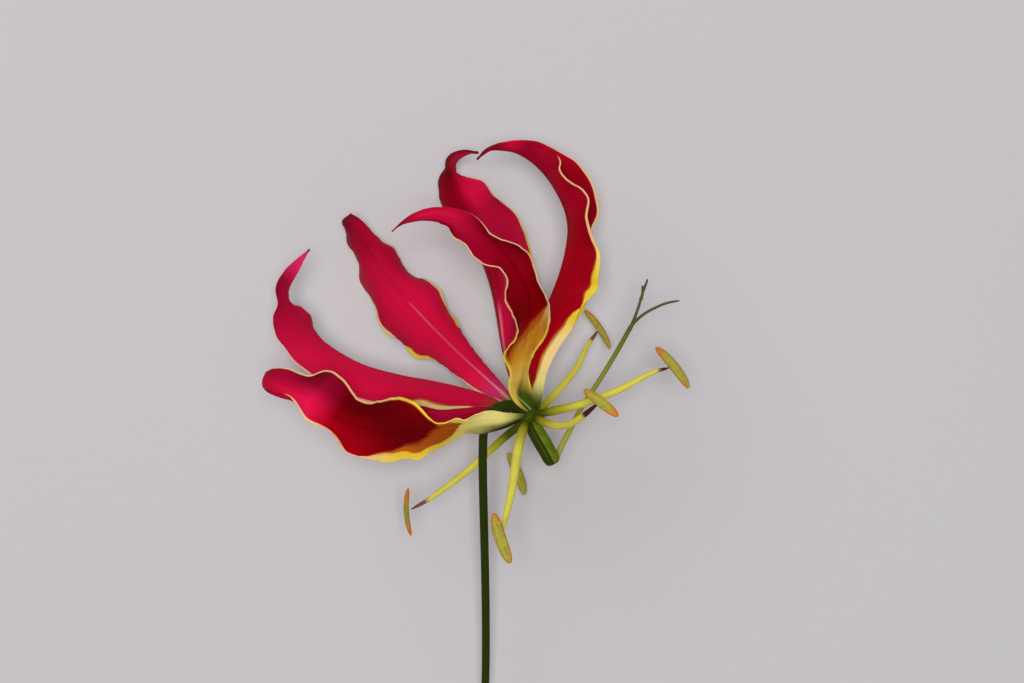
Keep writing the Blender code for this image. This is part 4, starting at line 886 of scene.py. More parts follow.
def tepal_finish(look):
    """Red skin, yellow edge bands, a green root, fine lengthwise veins and painted light and shade."""
    skin = Finish("tepal skin", TEPAL_GLOSS)
    along = skin.carried("along")
    across = skin.carried("across")
    streak = skin.noise(skin.spot(across * 9, along * 3.5), scale=3.0, detail=4.0, rough=0.6)
    vein = skin.noise(skin.spot(across * 26, along * 1.3, 4.0), scale=2.2)
    patch = skin.noise(skin.spot(across * 1.6, along * 9.0, 7.0), scale=1.6)
    cloud = skin.noise(skin.places(), scale=140.0)
    yellow, orange = tepal_band_colours(skin, look, along)
    warm = (skin.carried("warm") + streak - 0.5).rise(0, 1)
    colour = skin.blend(warm, tepal_red(skin, look, vein, cloud), orange)
    bright = (skin.carried("gold") + (streak - 0.5) * 1.4).rise(-0.5, 0.5)
    gild = (skin.carried("gild") * 1.3 + (patch + streak) * 0.5 - 0.65).rise(0, 1)
    band = bright * gild
    colour = skin.blend(band, colour, skin.shaded(yellow, 0.94 + cloud * 0.12))
    claw = 1 - (skin.carried("claw") + (streak - 0.5) * 0.06).rise(-0.045, 0.05)
    colour = skin.blend(claw, colour, look.claw_green)
    line = skin.blend(along.rise(0.08, 0.16), look.claw_rib, look.pale_rib)
    colour = skin.blend(skin.carried("rib") * 0.8, colour, line)
    # Painted light and shade on the folds, from the shade table; beyond the lower third the bands keep their
    # own light.
    shade = skin.carried("shade")
    spared = band * along.rise(0.3, 0.4)
    colour = skin.shaded(colour, shade + (1 - shade) * spared)
    skin.relief(vein * 0.6 + cloud * 0.4, strength=0.25, distance=0.25)
    return skin.finished(colour, 0.42 + vein * 0.12)


def stalk_finish(name, root, body, tip):
    """A smooth green skin; root and tip are the colours of its ends and how far they reach."""
    skin = Finish(name, STALK_GLOSS)
    from_root = skin.carried("from_root")
    cloud = skin.noise(skin.places(), scale=260.0, detail=3.0)
    grain = skin.noise(skin.spot(skin.carried("around") * 9, from_root * 0.12), scale=3.0)
    colour = skin.blend(from_root.rise(0.1 * root[1], root[1]), root[0], body)
    ragged = skin.carried("from_tip") + (cloud - 0.5) * 1.2
    colour = skin.blend(1 - ragged.rise(0.8 * tip[1], 1.15 * tip[1]), colour, tip[0])
    colour = skin.shaded(colour, 0.82 + cloud * 0.2 + grain * 0.16)
    skin.relief(grain * 0.6 + cloud * 0.4, strength=0.2, distance=0.2)
    return skin.finished(colour, STALK_ROUGHNESS + cloud * 0.15)


def filament_finish(look):
    """Yellow green, greener at the root, brown at the tip, where some end in a pale thread."""
    skin = Finish("filament skin", FILAMENT_GLOSS)
    from_tip = skin.carried("from_tip")
    threaded = skin.carried("thread")
    cloud = skin.noise(skin.places(), scale=300.0, detail=3.0)
    fleck = skin.noise(skin.places(), scale=1500.0)
    beyond_green = skin.carried("from_root") - skin.carried("green")
    colour = skin.blend(beyond_green.rise(-4.0, 0.0), look.root, look.low)
    colour = skin.blend(beyond_green.rise(-1.0, 7.0), colour, look.body)
    tip = skin.blend(threaded, look.tip, look.pale_tip)
    ragged = from_tip + (cloud - 0.5) * 1.6 + (fleck - 0.5) * 1.4
    colour = skin.blend(1 - (ragged - skin.carried("brown")).rise(-0.9, 0.9), colour, tip)
    colour = skin.blend((1 - from_tip.rise(0.7, 1.1)) * threaded, colour, look.thread)
    colour = skin.shaded(colour, 0.86 + cloud * 0.28)
    skin.relief(cloud, strength=0.15, distance=0.2)
    return skin.finished(colour, 0.36 + cloud * 0.16)


def anther_finish(look):
    """Olive walls, a paler seam, thin brown edges, and orange where pollen comes out."""
    skin = Finish("anther wall", ANTHER_GLOSS)
    cloud = skin.noise(skin.places(), scale=900.0, detail=3.0, rough=0.6)
    grain = skin.noise(skin.places(), scale=5200.0)
    colour = skin.blend(cloud.rise(0.35, 0.65), look.wall, look.wall_dark)
    colour = skin.blend(skin.carried("seam") * 0.5, colour, look.seam)
    colour = skin.blend(skin.carried("edge") * 0.7, colour, look.edge)
    dust = (skin.carried("pollen") + (cloud - 0.5) * 0.5).rise(0.3, 0.75)
    colour = skin.blend(dust, colour, look.pollen)
    skin.relief(grain, strength=0.35, distance=0.1)
    return skin.finished(colour, 0.62 + grain * 0.2)


def pollen_finish(look):
    """Matt orange grains, some browner."""
    skin = Finish("pollen", POLLEN_GLOSS)
    cloud = skin.noise(skin.places(), scale=1800.0)
    colour = skin.blend(cloud.rise(0.35, 0.7), look.pollen, look.pollen_dark)
    return skin.finished(colour, 0.75 + cloud * 0.15)


def ovary_finish(look):
    """Glossy green, with painted shade in the grooves between the three cells and on one side."""
    skin = Finish("ovary skin", OVARY_GLOSS)
    cloud = skin.noise(skin.places(), scale=420.0, detail=3.0)
    colour = skin.blend(cloud.rise(0.3, 0.75), look.green, look.light_green)
    # Painted shade in the grooves between the cells.
    colour = skin.blend(skin.carried("groove").rise(0.15, 0.8), colour, look.groove)
    # Painted shade on one side of the ovary.
    colour = skin.shaded(colour, 1 - skin.carried("shaded_side") * 0.7)
    skin.relief(cloud, strength=0.2, distance=0.2)
    return skin.finished(colour, 0.3 + cloud * 0.2)


def floor_finish(look):
    """A pale matt surface with a trace of unevenness."""
    skin = Finish("pale floor", FLOOR_GLOSS)
    cloud = skin.noise(skin.places(), scale=3.0)
    return skin.finished(skin.shaded(look.floor, 0.985 + cloud * 0.03), FLOOR_ROUGHNESS + cloud * 0.05)


# Stalks and pollen that grow along lines and over surfaces

class Growth(Nodes):
    """A tree of geometry nodes, with inputs given as (name, socket type) besides its geometry."""

    def __init__(self, name, inputs):
        super().__init__(bpy.data.node_groups.new(name, "GeometryNodeTree"))
        for label, kind in [("Geometry", "NodeSocketGeometry")] + inputs:
            self.tree.interface.new_socket(label, in_out="INPUT", socket_type=kind)
        self.tree.interface.new_socket("Geometry", in_out="OUTPUT", socket_type="NodeSocketGeometry")

    def given(self, name):
        """What comes in under that name."""
        return self.node("NodeGroupInput", {}, {}, name)

    def carried(self, name):
        """A number that the geometry carries under that name."""
        return self.node("GeometryNodeInputNamedAttribute", {}, {"Name": name}, "Attribute")

    def ended(self, geometry):
        """The tree, which ends in plain smooth faces with their finish."""
        real = self.node("GeometryNodeRealizeInstances", {}, {"Geometry": geometry})
        smooth = self.node("GeometryNodeSetShadeSmooth", {}, {"Geometry": real})
        inputs = {"Geometry": smooth, "Material": self.given("Finish")}
        skin = self.node("GeometryNodeSetMaterial", {}, inputs)
        self.add("NodeGroupOutput", {}, {"Geometry": skin})
        return self.tree


def stalk_tree():
    """Nodes that turn a line with a girth at each point into a closed round stalk."""
    grow = Growth("Stalk", [("Sides", "NodeSocketInt"), ("Finish", "NodeSocketMaterial")])
    line = grow.node("GeometryNodeMeshToCurve", {}, {"Mesh": grow.given("Geometry")})
    inputs = {"Resolution": grow.given("Sides"), "Radius": 1.0}
    ring = grow.node("GeometryNodeCurvePrimitiveCircle", {}, inputs)
    turn = grow.node("GeometryNodeSplineParameter", {}, {}, "Factor")
    inputs = {"Geometry": ring, "Name": "around", "Value": turn}
    ring = grow.node("GeometryNodeStoreNamedAttribute", {}, inputs)
    inputs = {"Curve": line, "Profile Curve": ring, "Scale": grow.carried("girth"), "Fill Caps": True}
    return grow.ended(grow.node("GeometryNodeCurveToMesh", {}, inputs))


def pollen_tree():
    """Nodes that scatter small grains over a surface, where its pollen number is high."""
    inputs = [
        ("Grain Radius", "NodeSocketFloat"), ("Density", "NodeSocketFloat"), ("Seed", "NodeSocketInt"),
        ("Finish", "NodeSocketMaterial"),
    ]
    grow = Growth("Pollen", inputs)
    seed = grow.given("Seed")
    density = grow.carried("pollen") * grow.given("Density")
    inputs = {"Mesh": grow.given("Geometry"), "Density": density, "Seed": seed}
    points = grow.node("GeometryNodeDistributePointsOnFaces", {}, inputs, "Points")
    inputs = {"Radius": grow.given("Grain Radius"), "Subdivisions": 1}
    grain = grow.node("GeometryNodeMeshIcoSphere", {}, inputs, "Mesh")
    inputs = {2: GRAIN_SIZES[0], 3: GRAIN_SIZES[1], "Seed": seed}
    size = grow.node("FunctionNodeRandomValue", {"data_type": "FLOAT"}, inputs, 1)
    inputs = {"Points": points, "Instance": grain, "Scale": size}
    return grow.ended(grow.node("GeometryNodeInstanceOnPoints", {}, inputs))


def grown(thing, tree, settings):
    """A plain mesh of what the nodes make from the thing, with those settings."""
    modifier = thing.modifiers.new("grow", "NODES")
    modifier.node_group = tree
    for socket in tree.interface.items_tree:
        if socket.in_out == "INPUT" and socket.name in settings:
            modifier[socket.identifier] = settings[socket.name]
    view = bpy.context.evaluated_depsgraph_get()
    mesh = bpy.data.meshes.new_from_object(thing.evaluated_get(view), depsgraph=view)
    thing.modifiers.clear()
    return mesh


# Meshes

def placed(points):
    """Places in metres in the scene, from millimetres from the hub."""
    return (np.asarray(points, float) + HUB_PLACE) * MM


def new_mesh(name, points, edges, faces, carried):
    """A mesh from places in metres, with the numbers that it carries at its points."""
    mesh = bpy.data.meshes.new(name)
    mesh.from_pydata(np.asarray(points).tolist(), edges, faces)
    for label, numbers in carried.items():
        attribute = mesh.attributes.new(label, "FLOAT", "POINT")
        attribute.data.foreach_set("value", np.asarray(numbers, float).ravel())
    return mesh


def new_thing(name, mesh):
    """An object in the scene that shows the mesh."""
    thing = bpy.data.objects.new(name, mesh)
    bpy.context.scene.collection.objects.link(thing)
    return thing


def finish_piece(thing, slot, *nodes):
    """Ties a piece to the flower and hides the nodes that it stands for. Its slot is not used."""
    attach(thing, "root")
    if nodes:
        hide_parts(*nodes)


def shade_smooth(mesh):
    """Smooth shading on every face."""
    mesh.polygons.foreach_set("use_smooth", np.ones(len(mesh.polygons), bool))
    mesh.update()


# Tepals

def places_along(edge, middle):
    """For each point of an edge, the share of the middle line it stands beside."""
    own = np.linspace(0, 1, len(edge))
    at = np.linspace(0, 1, len(middle))
    far = np.linalg.norm(edge[:, None] - middle[None], axis=2)
    far += STRAY_COST * np.maximum(0, np.abs(own[:, None] - at[None]) - STRAY_SHARE)
    inner = 1 - np.minimum(1, np.abs(own - 0.5) * 2) ** OWN_PLACE_POWER
    share = at[far.argmin(axis=1)] * inner + own * (1 - inner)
    share = softened(share[:, None], len(edge) // PLACE_SMOOTHING)[:, 0]
    share = np.maximum.accumulate(share + np.arange(len(edge)) * LEAST_STEP)
    return (share - share[0]) / (share[-1] - share[0])


def edge_beside(points, middle, rows):
    """The edge, read at rows places spaced evenly along the middle line."""
    edge = evenly(in_space(points), FINE_POINTS)
    share = places_along(edge, middle)
    at = np.linspace(0, 1, rows)
    beside = np.column_stack([np.interp(at, share, edge[:, i]) for i in range(3)])
    return softened(beside, EDGE_SMOOTHING)


def flatness(places):
    """How much of the fold is taken out at each place: all of it at the root and at the tip."""
    root = np.clip(1 - places / FLAT_ROOT, 0, 1)
    tip = np.clip(1 - (1 - places) / FLAT_TIP, 0, 1)
    share = np.maximum(root, tip)[:, None]
    return share**2 * (3 - 2 * share)


def columns_across():
    """Places of the columns, -1 at the left edge and 1 at the right, crowded at midrib and edges."""
    t = np.linspace(0, 1, TEPAL_HALF_COLUMNS + 1)
    half = t - COLUMN_CROWDING * np.sin(2 * np.pi * t) / (2 * np.pi)
    return np.concatenate([-half[::-1], half[1:]])


def tepal_sheet(tepal, rows, across):
    """The middle surface of a tepal: rows from hub to tip, columns from its left edge to its right edge."""
    fine = evenly(in_space(tepal["middle"]), FINE_POINTS)
    middle = evenly(in_space(tepal["middle"]), rows)
    along = unit(np.gradient(middle, axis=0))
    edges = [edge_beside(tepal[name], fine, rows) for name in ("left", "right")]
    flat = flatness(np.linspace(0, 1, rows))
    middle = middle * (1 - flat) + (edges[0] + edges[1]) / 2 * flat
    calm = [softened(edge, int(rows * RUFFLE_SPAN)) for edge in edges]
    inside = unit(calm[0] - middle) + unit(calm[1] - middle)
    sheet = np.zeros((rows, len(across), 3))
    for edge, soft, side in ((edges[0], calm[0], -1), (edges[1], calm[1], 1)):
        out = soft - middle
        width = np.linalg.norm(out, axis=1, keepdims=True)
        way = unit(out)
        lift = way * np.sum(inside * way, axis=1, keepdims=True) - inside
        lift = lift * TEPAL_BELLY * np.minimum(1, width / BELLY_WIDTH)
        for j in np.flatnonzero(across * side >= 0):
            share = abs(across[j])
            sheet[:, j] = middle + out * share + (edge - soft) * share**RUFFLE_REACH
            sheet[:, j] += lift * np.sin(np.pi * share)
    return widened(sheet, along, across)


def widened(sheet, along, across):
    """The sheet, with rows near the tip kept at least as wide as the tip's own width."""
    centre = (sheet[:, 0] + sheet[:, -1]) / 2
    span = sheet[:, -1] - sheet[:, 0]
    width = np.linalg.norm(span, axis=1)
    last = np.flatnonzero(width > 2 * TEPAL_TIP_HALF_WIDTH)[-1]
    for i in range(last + 1, len(sheet)):
        way = unit(span[last] - along[i] * (span[last] @ along[i]))
        sheet[i] = centre[i] + way * across[:, None] * TEPAL_TIP_HALF_WIDTH
    return sheet


def sheet_normals(sheet):
    """The direction square to the sheet at each point; narrow rows have one direction for the whole row."""
    along = np.gradient(sheet, axis=0)
    own = unit(np.cross(along, np.gradient(sheet, axis=1)))
    span = sheet[:, -1] - sheet[:, 0]
    shared = unit(np.cross(along.mean(axis=1), span))[:, None]
    width = np.linalg.norm(span, axis=1)[:, None, None]
    share = ramp(width, NARROW_WIDTH, NARROW_FADE)
    return unit(own * share + shared * (1 - share))


def crinkled(sheet, normals, across):
    """The sheet with fine waves near its edges."""
    at = np.linspace(0, 1, len(sheet))
    calm = faded_ends(at, CRINKLE_ENDS)
    for side in (-1, 1):
        wave = sum(size * np.sin(2 * np.pi * count * at + turn + side) for count, turn, size in CRINKLES)
        reach = np.clip(across * side, 0, 1) ** CRINKLE_REACH
        sheet = sheet + normals * (wave * calm)[:, None, None] * reach[None, :, None]
    return sheet


def grooved(sheet, normals, middle_run, inner_side):
    """The sheet, pressed in along the midrib on its inner face."""
    at = np.linspace(0, 1, len(sheet))
    depth = MIDRIB_DEPTH * faded_ends(at, MIDRIB_ENDS)
    dip = np.exp(-(middle_run / MIDRIB_HALF_WIDTH) ** 2) * depth[:, None]
    return sheet - normals * dip[:, :, None] * inner_side


def from_edges(runs):
    """How far each point stands from the nearer edge, from its runs across the sheet."""
    return np.minimum(runs, runs[:, -1:] - runs)


def inside_band(distance, width, fade):
    """How far inside a band each place is, in fades; nothing is inside a band that has run out."""
    return (width - distance) / fade - RUN_OUT * (1 - ramp(width, 0, THIN_BAND))


def face_paint(paint, face, runs, across):
    """The numbers that only one face of a tepal is painted by."""
    tables = paint[face]
    at = np.linspace(0, 1, len(runs))[:, None]
    gold, warm = [], []
    for name, distance in (("left", runs), ("right", runs[:, -1:] - runs)):
        yellow = keyed(tables[name], at)
        orange = keyed(tables[name], at, 2)
        gold.append(inside_band(distance, yellow, BAND_FADE + YELLOW_FADE * yellow))
        warm.append(inside_band(distance, yellow + orange, BAND_FADE + ORANGE_FADE * orange))
    # Painted shade that darkens the left half, taking from its pink and its light.
    left_shade = paint.get("left_shade", 0) * np.clip(LEFT_SHADE_MIDDLE - LEFT_SHADE_SLOPE * across, 0, 1)
    shift = keyed(paint.get("rib_shift", NO_SHIFT), at)
    from_rib = runs - runs[:, TEPAL_HALF_COLUMNS][:, None] - shift
    gild = keyed(paint["gild"], at)
    rim = np.clip(RIM_FADE - from_edges(runs) / RIM_WIDTH, 0, 1)
    return {
        "gild": gild + (1 - gild) * rim,
        "gold": np.maximum(*gold),
        "warm": np.maximum(*warm),
        # Pink with a painted highlight, and painted light and shade, both taken down where the left half has
        # painted shade.
        "pink_and_highlight": keyed(tables["pink_and_highlight"], at) * (1 - LEFT_SHADE_ON_PINK * left_shade),
        "light": keyed(tables["light"], at) * (1 - LEFT_SHADE_ON_LIGHT * left_shade),
        "rib": keyed(tables["rib"], at) * np.exp(-(from_rib / keyed(tables["rib"], at, 2)) ** 2),
    }


def shared_paint(paint, at, across):
    """The numbers that both faces of a tepal are painted by."""
    # Painted light and shade, read between five places across the tepal.
    columns = len(paint["shade"][0]) - 1
    place = (across + 1) * (columns - 1) / 2
    near = [np.clip(1 - np.abs(place - i), 0, 1) for i in range(columns)]
    return {
        "shade": sum(keyed(paint["shade"], at, i + 1) * near[i] for i in range(columns)),
        "along": at,
        "across": across,
        "claw": at - keyed(paint["claw"], across),
        "cream": keyed(paint["cream"], at),
    }


def tepal_mesh(letter):
    """The mesh of a tepal, closed, with the numbers for its painting."""
    paint = PAINT[letter]
    across = columns_across()
    sheet = tepal_sheet(TEPALS[letter], TEPAL_ROWS, across)
    normals = sheet_normals(sheet)
    runs = np.array([run_along(row) for row in sheet])
    half = TEPAL_HALF_COLUMNS
    inner_side = paint["inner_side"]
    sheet = crinkled(sheet, normals, across)
    sheet = grooved(sheet, normals, runs - runs[:, half:half + 1], inner_side)
    rows, columns = runs.shape
    inner_share = ramp(from_edges(runs), 0, THINNED_WIDTH)
    thickness = EDGE_THICKNESS + (MIDRIB_THICKNESS - EDGE_THICKNESS) * inner_share
    offset = normals * thickness[:, :, None] / 2
    loop = rim_loop(rows, columns)
    points = [(sheet + offset * side).reshape(-1, 3) for side in (1, -1)] + [rim_points(sheet, loop)]
    at, wide = np.meshgrid(np.linspace(0, 1, rows), across, indexing="ij")
    shared = shared_paint(paint, at, wide)
    faces = ("inner", "outer") if inner_side == 1 else ("outer", "inner")
    sides = [{**shared, **face_paint(paint, face, runs, wide)} for face in faces]
    carried = {}
    for label in sides[0]:
        first, second = (numbers[label].ravel() for numbers in sides)
        carried[label] = np.concatenate([first, second, (first[loop] + second[loop]) / 2])
    faces = tepal_faces(rows, columns, loop)
    return new_mesh("tepal " + letter, placed(np.concatenate(points)), [], faces, carried)


def rim_loop(rows, columns):
    """The points round the border of a grid, in order."""
    loop = list(range(columns))
    loop += [i * columns + columns - 1 for i in range(1, rows)]
    loop += [(rows - 1) * columns + j for j in range(columns - 2, -1, -1)]
    loop += [i * columns for i in range(rows - 2, 0, -1)]
    return np.array(loop)


def rim_points(sheet, loop):
    """A row of points round the border, a little outside it, that rounds the edge."""
    rows, columns = sheet.shape[:2]
    flat = sheet.reshape(-1, 3)
    row = np.clip(loop // columns, 1, rows - 2)
    column = np.clip(loop % columns, RIM_INWARD, columns - 1 - RIM_INWARD)
    inward = row * columns + column
    return flat[loop] + unit(flat[loop] - flat[inward]) * EDGE_THICKNESS * RIM_BULGE


def tepal_faces(rows, columns, loop):
    """Faces of the two sides and of the rounded edge between them."""
    faces = []
    count = rows * columns
    for i in range(rows - 1):
        for j in range(columns - 1):
            a = i * columns + j
            b, c, d = a + columns, a + columns + 1, a + 1
            faces.append((a, b, c, d))
            faces.append((d + count, c + count, b + count, a + count))
    for k in range(len(loop)):
        here, following = int(loop[k]), int(loop[(k + 1) % len(loop)])
        mid, mid_following = 2 * count + k, 2 * count + (k + 1) % len(loop)
        faces.append((here, following, mid_following, mid))
        faces.append((mid, mid_following, following + count, here + count))
    return faces


# Stalks and anthers

def stalk(name, points, radii, count, settings, marks):
    """A closed round stalk along the points, its radius as (share of the length, millimetres)."""
    line, share = crowded(points, count)
    run = run_along(line)
    carried = {"girth": keyed(radii, share) * MM, "from_root": run, "from_tip": run[-1] - run}
    for label, number in marks.items():
        carried[label] = np.full(count, float(number))
    edges = [(i, i + 1) for i in range(count - 1)]
    thing = new_thing(name, new_mesh(name, placed(line), edges, [], carried))
    tree = bpy.data.node_groups.get("Stalk") or stalk_tree()
    thing.data = closed(grown(thing, tree, settings))
    return thing


def anther_frame(stamen):
    """The two ends of an anther, the ways to its side and its back, and the way its filament comes."""
    ends = in_space(stamen["anther"])
    reach = unit(ends.mean(axis=0) - in_space(stamen["filament"])[-1])
    long = unit(ends[1] - ends[0])
    back = unit(reach - long * (reach @ long))
    side = np.cross(long, back)
    turn = np.radians(stamen["turn"])
    side = side * np.cos(turn) - back * np.sin(turn)
    return ends, side, np.cross(side, long), reach


def lens_share(share):
    """How full an anther is at each share of its length."""
    return np.sqrt(np.maximum(0, 1 - np.abs(2 * share - 1) ** ANTHER_FULLNESS))


def pollen_amounts(amounts, share, angle):
    """How thick the pollen lies: most at the ends of the anther, and along its two open edges."""
    amount = np.where(share < 0.5, *amounts)
    ends = (amount * ramp(np.abs(2 * share - 1), POLLEN_END_FROM, POLLEN_END_FADE))[:, None]
    edge = ramp(np.abs(np.cos(angle)), POLLEN_EDGE_FROM, POLLEN_EDGE_FADE)[None]
    return np.clip(edge * (POLLEN_ALL_ALONG + POLLEN_ON_EDGES * ends) + ends * POLLEN_ON_ENDS, 0, 1)


def seam_share(across):
    """1 on a seam, where the number across the anther is 1 or -1, and 0 a little beside it."""
    return np.exp(-((np.abs(across) - 1) / SEAM_WIDTH) ** 2)


def anther_mesh(number):
    """A boat-shaped anther of two lobes, with a seam on each face and open edges where the pollen is."""
    stamen = STAMENS[number]
    ends, side, back, reach = anther_frame(stamen)
    share = crowded_shares(ANTHER_ROWS)
    angle = angles_round(ANTHER_SIDES)
    line = ends[0] + (ends[1] - ends[0]) * share[:, None]
    line = line + back * ANTHER_SAG * (4 * share * (1 - share) - 1)[:, None]
    face_seam = seam_share(np.sin(angle))
    side_seam = seam_share(np.cos(angle))
    radius = lens_share(share)[:, None] * (1 - SEAM_DEPTH * face_seam - SEAM_DEPTH * side_seam)[None]
    wide = radius * np.cos(angle)[None] * stamen["width"] / 2
    deep = radius * np.sin(angle)[None] * ANTHER_THICKNESS / 2
    points = line[:, None] + side * wide[:, :, None] + back * deep[:, :, None]
    carried = {
        "pollen": pollen_amounts(stamen["pollen"], share, angle),
        "seam": np.tile(face_seam, ANTHER_ROWS),
        "edge": np.tile(side_seam, ANTHER_ROWS),
    }
    return ring_mesh("anther %d" % number, points, carried)


def ring_mesh(name, points, carried):
    """A closed mesh from rings of points, with the numbers that it carries at its points."""
    rows, sides = points.shape[:2]
    faces = []
    for i in range(rows - 1):
        for j in range(sides):
            a, b = i * sides + j, i * sides + (j + 1) % sides
            faces.append((a, b, b + sides, a + sides))
    return closed(new_mesh(name, placed(points.reshape(-1, 3)), [], faces, carried))


def closed(mesh):
    """The mesh with the points of each end ring merged, and its faces turned outward."""
    work = bmesh.new()
    work.from_mesh(mesh)
    bmesh.ops.remove_doubles(work, verts=work.verts, dist=MERGE_REACH)
    holes = [edge for edge in work.edges if edge.is_boundary]
    if holes:
        bmesh.ops.holes_fill(work, edges=holes)
    bmesh.ops.recalc_face_normals(work, faces=work.faces)
    work.to_mesh(mesh)
    work.free()
    shade_smooth(mesh)
    return mesh


def filament_line(stamen):
    """The line of a filament, ending at the wall of its anther."""
    ends, side, back, reach = anther_frame(stamen)
    depth = 1 / np.hypot(reach @ side / (stamen["width"] / 2), reach @ back / (ANTHER_THICKNESS / 2))
    tip = ends.mean(axis=0) - reach * depth * ANTHER_GRIP
    return np.vstack([in_space(stamen["filament"]), tip])


def filament_radii(girth):
    """The radii of a filament that is girth times as stout as the table, but for its root."""
    radii = []
    for share, radius in FILAMENT_RADII:
        radii.append((share, radius * (1 + (girth - 1) * min(1, share / GIRTH_REACH))))
    return radii


def ovary_mesh():
    """The ovary: three rounded cells side by side, with grooves between them."""
    line, share = crowded(in_space(OVARY_LINE), OVARY_ROWS)
    across, other = directions_across(line)
    angle = angles_round(OVARY_SIDES)
    turn = np.abs(((angle - OVARY_TURN) / (2 * np.pi / 3) + 0.5) % 1 - 0.5)
    groove = np.exp(-(turn / GROOVE_WIDTH) ** 2)
    lobe = 1 + CELL_BULGE * (1 - np.cos(2 * np.pi * turn)) / 2 - GROOVE_DEPTH * groove
    radius = keyed(OVARY_RADII, share)[:, None] * lobe[None]
    points = line[:, None] + across[:, None] * (radius * np.cos(angle))[:, :, None]
    points = points + other[:, None] * (radius * np.sin(angle))[:, :, None]
    carried = {
        # The grooves, where the finish paints shade.
        "groove": np.tile(groove, OVARY_ROWS),
        # The side that the finish paints in shade.
        "shaded_side": np.tile(ramp(np.cos(angle), SHADED_SIDE, SHADED_SIDE), OVARY_ROWS),
    }
    return ring_mesh("ovary", points, carried)


# Settings

def colour_property(name, description, colour):
    """A colour that the user may change."""
    return bpy.props.FloatVectorProperty(
        name=name, description=description, default=colour, size=3, min=0, max=1, subtype="COLOR"
    )


def sides_property(description, count):
    """How many faces a stalk has round it."""
    return bpy.props.IntProperty(name="Sides", description=description, default=count, min=8, max=96)


def power_property(name, description, power):
    """The power of a lamp."""
    return bpy.props.FloatProperty(
        name=name, description=description, default=power, min=0, subtype="POWER", unit="POWER"
    )


class TepalSettings(bpy.types.PropertyGroup):
    """Colours of the tepals."""

    deep_red: colour_property("Deep Red", "Red of the inner faces", painted(156, 0, 16))
    pink_red: colour_property("Pink Red", "Red of the outer faces and of the tips", painted(207, 17, 65))
    base_magenta: colour_property("Magenta", "Red near the root of the outer faces", painted(192, 48, 108))
    orange: colour_property("Orange", "Between the red and the yellow", painted(178, 86, 20))
    yellow: colour_property("Yellow", "Bands beside the edges", painted(238, 205, 58))
    pale_yellow: colour_property("Pale Yellow", "Bands near the root", painted(240, 226, 136))
    cream: colour_property("Cream", "Thin line of the far edges", painted(242, 190, 142))
    coral: colour_property("Coral", "Between the red and the cream", painted(216, 110, 96))
    pale_rib: colour_property("Pale Rib", "Line along the middle", painted(228, 150, 170))
    claw_rib: colour_property("Claw Rib", "Line along the middle of the claws", painted(164, 170, 98))
    claw_green: colour_property("Claw Green", "Where the tepals join the receptacle", painted(58, 76, 14))


class StemSettings(bpy.types.PropertyGroup):
    """Colours of the stem and the style."""

    stem: colour_property("Stem", "Skin of the stem", painted(42, 54, 10))
    receptacle: colour_property("Receptacle", "Top of the stem, under the tepals", painted(66, 78, 12))
    cut: colour_property("Cut", "Cut end of the stem", painted(140, 155, 84))
    style_root: colour_property("Style Root", "Lower half of the style", painted(164, 162, 66))
    style: colour_property("Style", "Upper end of the style", painted(88, 94, 34))
    arm: colour_property("Arms", "Skin of the style's arms", painted(84, 86, 54))
    sides: sides_property("Faces round a stalk", 32)


class FilamentSettings(bpy.types.PropertyGroup):
    """Colours of the filaments."""

    root: colour_property("Root", "At the receptacle", painted(64, 76, 12))
    low: colour_property("Lower Part", "Near the receptacle", painted(150, 146, 28))
    body: colour_property("Body", "Along the filament", painted(218, 208, 82))
    tip: colour_property("Tip", "Before the anther", painted(76, 30, 28))
    pale_tip: colour_property("Paler Tip", "Tip that ends in a thread", painted(122, 78, 62))
    thread: colour_property("Thread", "Thin end that holds the anther", painted(206, 200, 150))
    sides: sides_property("Faces round a filament", 28)


class AntherSettings(bpy.types.PropertyGroup):
    """Colours and grains of the anthers."""

    wall: colour_property("Wall", "Walls of the anther", painted(176, 164, 66))
    wall_dark: colour_property("Darker Wall", "Patches on the walls", painted(156, 144, 56))
    seam: colour_property("Seam", "Line between the two lobes", painted(186, 186, 80))
    edge: colour_property("Edge", "Thin lines where the lobes open", painted(120, 60, 34))
    pollen: colour_property("Pollen", "Fresh grains", painted(212, 120, 44))
    pollen_dark: colour_property("Old Pollen", "Older grains", painted(158, 82, 36))
    grain: bpy.props.FloatProperty(
        name="Grain", description="Radius of a grain", default=0.00006, min=0.00002, max=0.0003,
        precision=6, subtype="DISTANCE", unit="LENGTH",
    )
    density: bpy.props.FloatProperty(
        name="Density", description="Grains on a square metre", default=26e6, min=0, max=1e8
    )
    seed: bpy.props.IntProperty(name="Seed", description="Scatter of the grains", default=7, min=0)


class OvarySettings(bpy.types.PropertyGroup):
    """Colours of the ovary."""

    green: colour_property("Green", "Skin of the ovary", painted(80, 100, 14))
    light_green: colour_property("Light Green", "Lighter patches", painted(98, 114, 16))
    # The groove colour is painted shade in the grooves between the cells.
    groove: colour_property("Groove", "Lines between the cells", painted(38, 56, 18))


class StageSettings(bpy.types.PropertyGroup):
    """Floor and light."""

    floor: colour_property("Floor", "Pale floor", painted(205, 202, 204))
    front_power: power_property("Front Light", "Power of the lamp above the camera", 7.6)
    side_power: power_property("Side Light", "Power of the wide lamp beyond the tips", 2.8)
    sky: bpy.props.FloatProperty(
        name="Sky", description="Strength of the light all round", default=0.3, min=0
    )


# Operators

class FLOWER_OT_tepals(bpy.types.Operator):
    """Make the six waved tepals"""

    bl_idname = "flower.tepals"
    bl_label = "Tepals"

    def execute(self, context):
        finish = tepal_finish(context.scene.flower_tepals)
        for letter in TEPALS:
            mesh = closed(tepal_mesh(letter))
            mesh.materials.append(finish)
            name = "tepal_" + letter.lower()
            finish_piece(new_thing("waved_" + name, mesh), "tepal", name)
        return {"FINISHED"}


